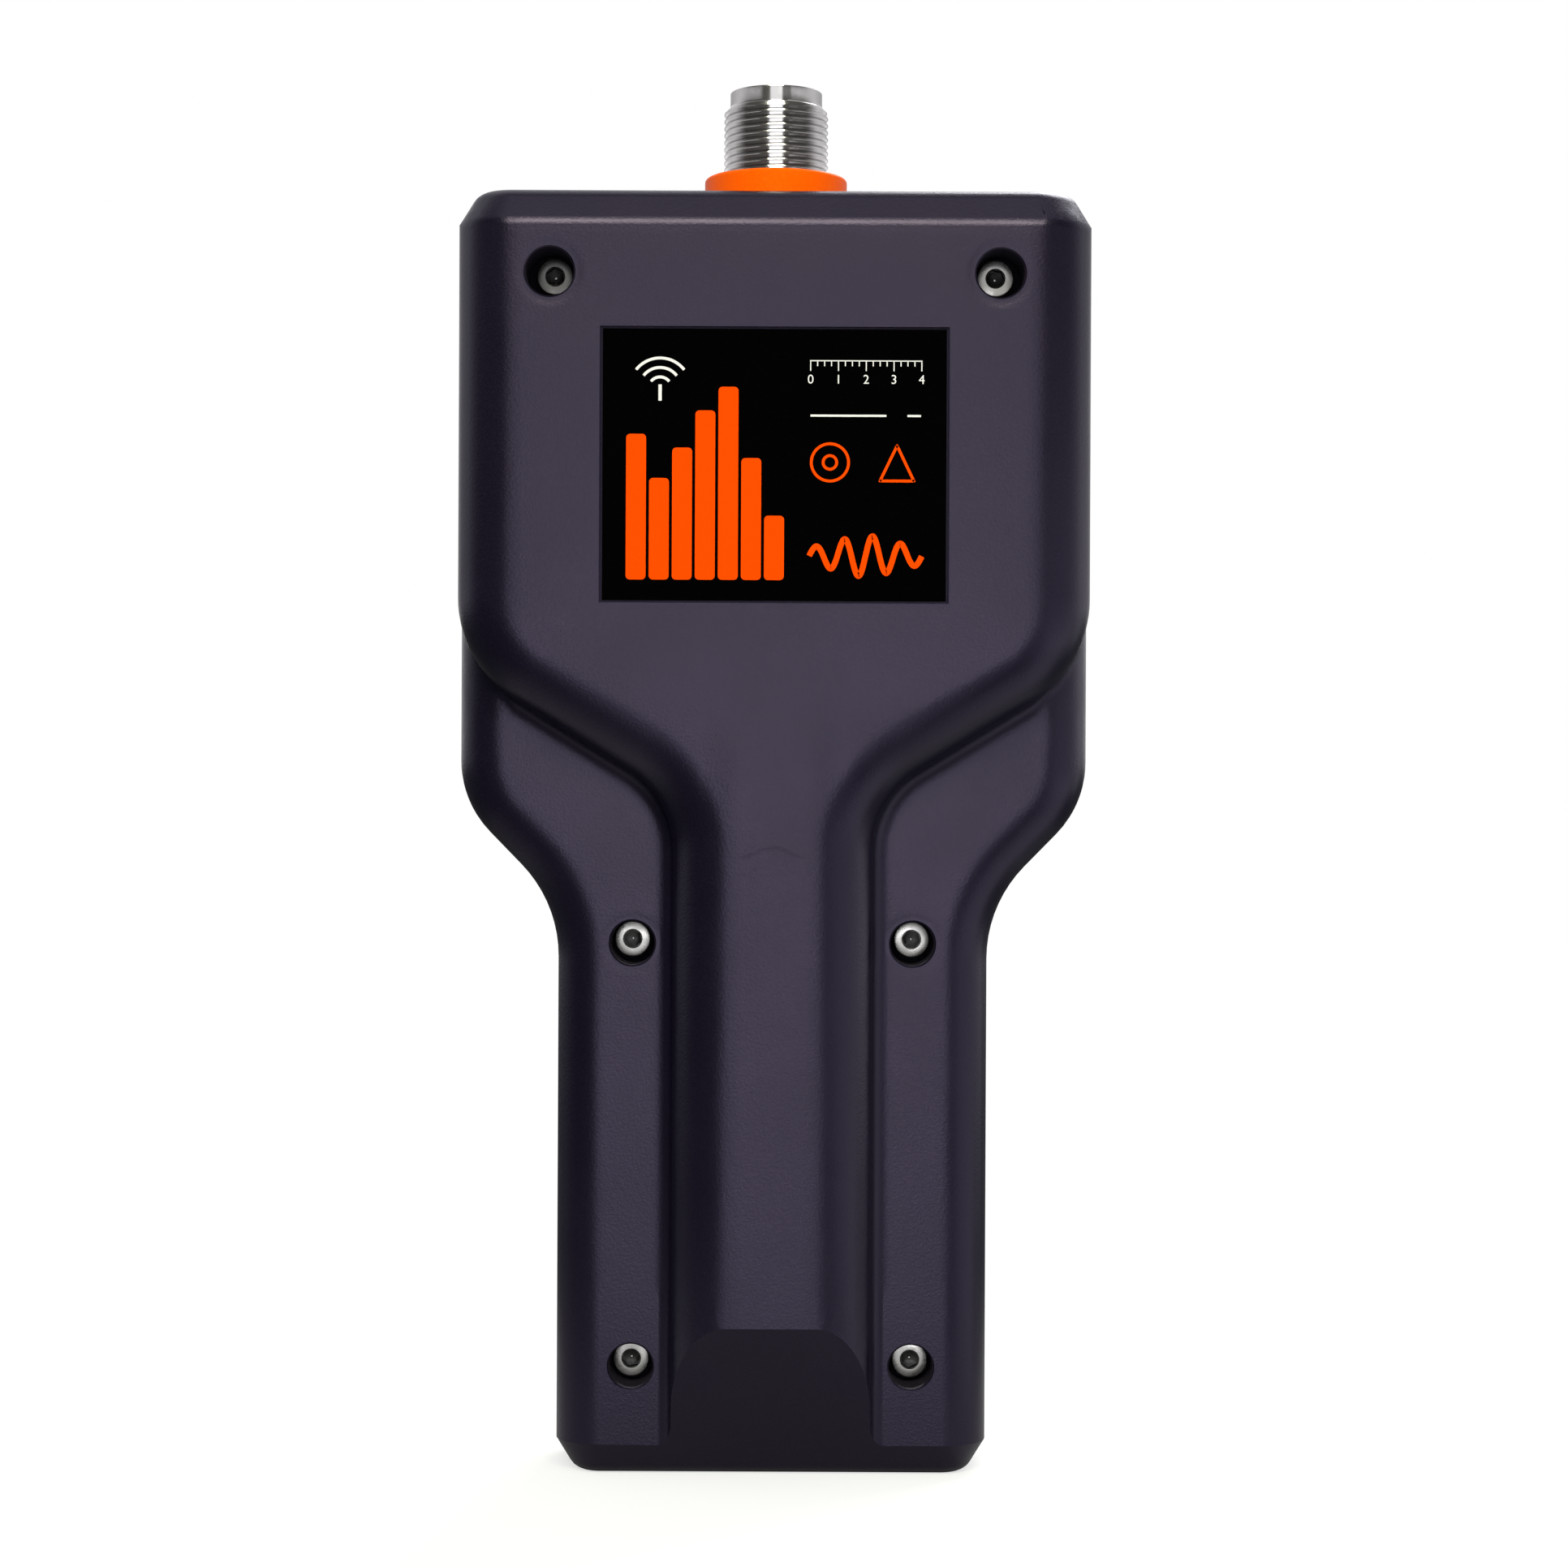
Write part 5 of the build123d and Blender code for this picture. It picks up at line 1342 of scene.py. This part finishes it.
@dataclass
class Display(SubAssembly):
    """Window, display module and the plot that it shows."""

    level: float = -14.1
    centre_z: float = 147.0
    width: float = 74.0
    height: float = 50.0
    plot_left: float = -28.0
    plot_low: float = -16.5
    plot_width: float = 60.0
    plot_height: float = 34.0

    def build(self) -> None:
        """Dress the window and the display's parts, and light the plot."""
        self.keep(merged_copy("display_window", 35.0), "window_pane", WINDOW, ["display_window"])
        self.dress_nodes(window_tape=FOAM, lcd_module=LCD_GLASS, lcd_pads=FOAM)
        self.dress_nodes(display_flex=FLEX, flex_socket=CHIP)
        self.keep(self.field(), "plot_field", LIT_BACK)
        self.keep(self.grid(), "plot_grid", LIT_GREY)
        self.keep(self.curve(), "plot_curve", LIT_ORANGE)
        self.keep(self.scale(), "plot_scale", LIT_WHITE)

    def face(self, lift: float) -> Artwork:
        """Start artwork on the display, lifted by a share of a millimetre."""
        return Artwork(Facing.FRONT, self.level - lift, (0.0, self.centre_z), thickness=0.04)

    def field(self) -> Object:
        """Light the display's active area."""
        art = self.face(0.03)
        art.bar(0.0, 0.0, self.width - 2.0, self.height - 2.0, 0.4)
        return art.lay()

    def grid(self) -> Object:
        """Draw the plot's grid."""
        art = self.face(0.06)
        middle = (self.plot_left + self.plot_width / 2, self.plot_low + self.plot_height / 2)
        line = 0.14
        for column in range(11):
            art.bar(self.plot_left + self.plot_width * column / 10, middle[1], line, self.plot_height)
        for row in range(7):
            art.bar(middle[0], self.plot_low + self.plot_height * row / 6, self.plot_width, line)
        return art.lay()

    def curve(self) -> Object:
        """Draw the measured curve, with its dip at resonance, and a marker."""
        art = self.face(0.09)
        line = []
        for step in range(161):
            share = step / 160
            dip = 1.0 / (1.0 + ((share - 0.47) / 0.075) ** 2)
            second = 0.35 / (1.0 + ((share - 0.83) / 0.05) ** 2)
            height = 15.0 - 27.0 * dip - 20.0 * second + 1.2 * math.sin(9.0 * share)
            line.append((self.plot_left + self.plot_width * share, height))
        art.ribbon(line, 0.5)
        art.polygon([(0.2, -13.6), (-1.2, -15.8), (1.6, -15.8)])
        return art.lay()

    def scale(self) -> Object:
        """Draw the plot's numbers and status bars."""
        art = self.face(0.09)
        size = 2.4
        for row in range(7):
            art.figure(str(row + 1), self.plot_left - 3.0, self.plot_low + self.plot_height * row / 6, size)
        for column in range(6):
            x = self.plot_left + self.plot_width * column / 5
            art.figure(str(10 * (column + 1)), x, self.plot_low - 3.1, size)
        for level in range(4):
            art.bar(-33.5 + 1.1 * level, 20.9 + 0.35 * level, 0.7, 0.8 + 0.7 * level)
        art.outline([(28.5, 20.2), (33.0, 20.2), (33.0, 22.4), (28.5, 22.4)], 0.2)
        art.bar(30.2, 21.3, 2.7, 1.5)
        art.bar(33.45, 21.3, 0.4, 1.0)
        return art.lay()


@dataclass
class Electronics(SubAssembly):
    """Main board and what it carries."""

    def build(self) -> None:
        """Dress each part of the electronics."""
        self.dress_nodes(main_board=BOARD, board_chips=CHIP, rf_shield=SHIELD, buzzer=CHIP)
        self.dress_nodes(usb_socket=SHIELD, status_light=LIGHT, board_screws=STEEL)


@dataclass
class Battery(SubAssembly):
    """Battery cell and its holder in the ridge."""

    def build(self) -> None:
        """Dress each part of the battery."""
        self.dress_nodes(battery_cell=CELL, battery_holder=HOLDER, battery_contacts=NICKEL, battery_pad=FOAM)


# ------------------------------------------------------------------ studio


@dataclass(frozen=True)
class Softbox:
    """Rectangular softbox that faces the middle of the case.

    Attributes:
        name: Its name.
        turn: Its bearing from +Y, in degrees towards -X.
        rise: Its height over the horizon, in degrees.
        half_width: Half its width as seen from the case, in degrees.
        half_height: Half its height as seen from the case, in degrees.
        radiance: Brightness of its face.
        distance: Its distance from the case, in metres.
        tint: Colour of its light.
    """

    name: str
    turn: float
    rise: float
    half_width: float
    half_height: float
    radiance: float
    distance: float = 1.3
    tint: Colour = (1.0, 1.0, 1.0)

    def add(self, aim: Vector) -> None:
        """Add it to the scene, unseen by the camera."""
        away = Euler((math.radians(self.rise), 0.0, math.radians(self.turn))).to_matrix()
        away = away @ Vector((0.0, self.distance, 0.0))
        data = bpy.data.lights.new(self.name, "AREA")
        data.shape = "RECTANGLE"
        data.size = 2.0 * self.distance * math.tan(math.radians(self.half_width))
        data.size_y = 2.0 * self.distance * math.tan(math.radians(self.half_height))
        data.energy = self.radiance * math.pi * data.size * data.size_y
        data.color = self.tint
        light = bpy.data.objects.new(self.name, data)
        bpy.context.scene.collection.objects.link(light)
        light.location = aim + away
        light.rotation_euler = (-away).to_track_quat("-Z", "Y").to_euler()
        light.visible_camera = False


@dataclass
class Studio:
    """Camera, lights, floor and backdrop.

    Attributes:
        camera_place: X, Y and Z of the camera, in millimetres.
        focal_pixels: Focal length in pixels of the frame.
        frame_width: Width of the frame in pixels.
        sensor: Width of the camera's sensor, in millimetres.
        roll: Roll of the camera, in degrees.
        aim: The point that the softboxes face.
        softboxes: Three behind and above the camera, one beside the case and one before its display.
    """

    camera_place: Triple = (-1.64, 492.0, 105.0)
    focal_pixels: float = 3961.0
    frame_width: float = 1932.0
    sensor: float = 36.0
    roll: float = 0.26
    aim: Triple = (0.0, 0.0, 105.0)
    softboxes: tuple[Softbox, ...] = (
        Softbox("key_softbox", 0.0, -12.0, 14.5, 13.0, 5.8),
        Softbox("fill_softbox", 0.0, 11.5, 14.5, 10.5, 1.2),
        Softbox("top_softbox", 0.0, 38.0, 16.0, 8.0, 14.5, tint=(1.0, 0.98, 0.76)),
        Softbox("side_softbox", 74.0, -2.0, 45.0, 14.0, 0.62, distance=0.36),
        Softbox("front_softbox", 150.0, 48.0, 16.0, 12.0, 8.0),
    )

    def build(self) -> None:
        """Set up the whole studio, with colours shown as they are written."""
        bpy.context.scene.view_settings.view_transform = "Standard"
        self.camera()
        for box in self.softboxes:
            box.add(Vector(self.aim) * MM)
        self.floor()
        self.world()

    def camera(self) -> None:
        """Place the camera behind the case, level and nearly square to it."""
        data = bpy.data.cameras.new("camera")
        data.sensor_fit = "HORIZONTAL"
        data.sensor_width = self.sensor
        data.lens = self.focal_pixels * self.sensor / self.frame_width
        data.clip_start = 0.01
        data.clip_end = 20.0
        camera = bpy.data.objects.new("camera", data)
        bpy.context.scene.collection.objects.link(camera)
        camera.location = Vector(self.camera_place) * MM
        turn = Matrix.Rotation(math.pi, 3, "Z") @ Matrix.Rotation(math.pi / 2, 3, "X")
        camera.rotation_euler = (turn @ Matrix.Rotation(math.radians(self.roll), 3, "Z")).to_euler()
        bpy.context.scene.camera = camera

    @staticmethod
    def rays(graph: Graph) -> tuple[Socket, Socket]:
        """Return whether a ray comes from the camera, also through glass, and whether it is a glossy one."""
        path = graph.add("LightPath").outputs
        return graph.most(path["Is Camera Ray"], path["Is Transmission Ray"]), path["Is Glossy Ray"]

    def floor(self) -> None:
        """Lay a pale floor that fades to white away from the case, with two cards that only gloss shows."""
        floor = new_primitive("circle", vertices=96, radius=4.0, fill_type="NGON")
        floor.name = "floor"
        material = bpy.data.materials.new("studio_floor")
        material.use_nodes = True
        graph = Graph(material.node_tree)
        seen, glossy = self.rays(graph)
        near, far = 60.0, 220.0
        back_near, back_far, back_slope = (60.0, 160.0), (700.0, 250.0), (0.42, 0.24, 0.0, 1.15)
        side_near, side_far, side_slope = (-70.0, -160.0), (-700.0, -300.0), (0.7, 1.3, 0.0, 0.65)
        graph.place = graph.add("NewGeometry").outputs["Position"]
        x, y, _ = graph.parts
        reach = graph.reach(x, y)
        slope = graph.maths("DIVIDE", graph.mirrored[0], y)
        back = graph.product(graph.within(y, back_near, back_far), graph.fade(slope, *back_slope))
        side = graph.product(graph.within(x, side_near, side_far), graph.fade(slope, *side_slope))
        glow = graph.product(graph.fade(reach, near, far, 0.66, 0.97), seen)
        strength = graph.total(glow, graph.product(graph.most(back, side), glossy))
        paper = graph.add("BsdfDiffuse", {"Color": graph.fade(reach, near, far, 0.36, 0.05)})
        light = graph.add("Emission", {"Color": (1.0, 1.0, 1.0), "Strength": strength})
        both = graph.add("AddShader", {0: paper.outputs[0], 1: light.outputs[0]})
        graph.add("OutputMaterial", {0: both.outputs[0]})
        floor.data.materials.append(material)

    def world(self) -> None:
        """Surround the case with grey room light, seen as white by the camera.

        What gloss shows is a dark room with a ring round the horizon, a lighter side behind the case and a
        lit ceiling.
        """
        world = bpy.data.worlds.new("room")
        bpy.context.scene.world = world
        world.use_nodes = True
        graph = Graph(world.node_tree)
        seen, glossy = self.rays(graph)
        side, along, up = graph.add("SeparateXYZ", {0: graph.add("TexCoord").outputs["Generated"]}).outputs
        band_low, band_high = (0.155, 0.175), (0.255, 0.235)
        ceiling_low, ceiling_high = (0.72, 0.80, 0.0, 0.9), (0.985, 0.95)
        band = graph.within(up, band_low, band_high)
        far = graph.less(graph.fade(along, 0.83, 0.74, 0.0, 0.68), graph.fade(along, -0.3, -0.95, 0.0, 0.22))
        near = graph.fade(side, 0.0, -0.2, 0.0, 0.20)
        behind = graph.fade(along, 0.35, -0.4, 0.02, 0.78)
        behind = graph.total(behind, graph.fade(along, -0.5, -0.95, 0.0, 0.25))
        ceiling = graph.product(graph.within(up, ceiling_low, ceiling_high), graph.fade(along, 0.1, 0.3))
        ring = graph.product(band, graph.most(far, near))
        room = graph.total(ring, graph.product(graph.most(behind, ceiling), graph.less(1.0, band)))
        plain = graph.product(graph.less(1.0, glossy), 0.60)
        strength = graph.most(graph.total(graph.product(room, glossy), plain), seen)
        light = graph.add("Background", {"Color": (1.0, 1.0, 1.0), "Strength": strength})
        graph.add("OutputWorld", {0: light.outputs[0]})


# ------------------------------------------------------------------ build


def corners(bounds: Iterable[Iterable[float]]) -> list[list[float]]:
    """Return a box's corners as plain lists."""
    return [[float(part) for part in corner] for corner in bounds]


def main() -> None:
    """Build and dress every sub-assembly."""
    logging.basicConfig(level=logging.INFO, format="%(name)s: %(message)s")
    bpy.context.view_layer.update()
    parts = (CaseCovers, CoaxSocket, CaseScrews, RatingLabel, Keypad, Display, Electronics, Battery)
    for part in (kind() for kind in parts):
        part.build()
        LOG.info("built %s", type(part).__name__)
    Studio().build()


if __name__ == "__main__":
    main()
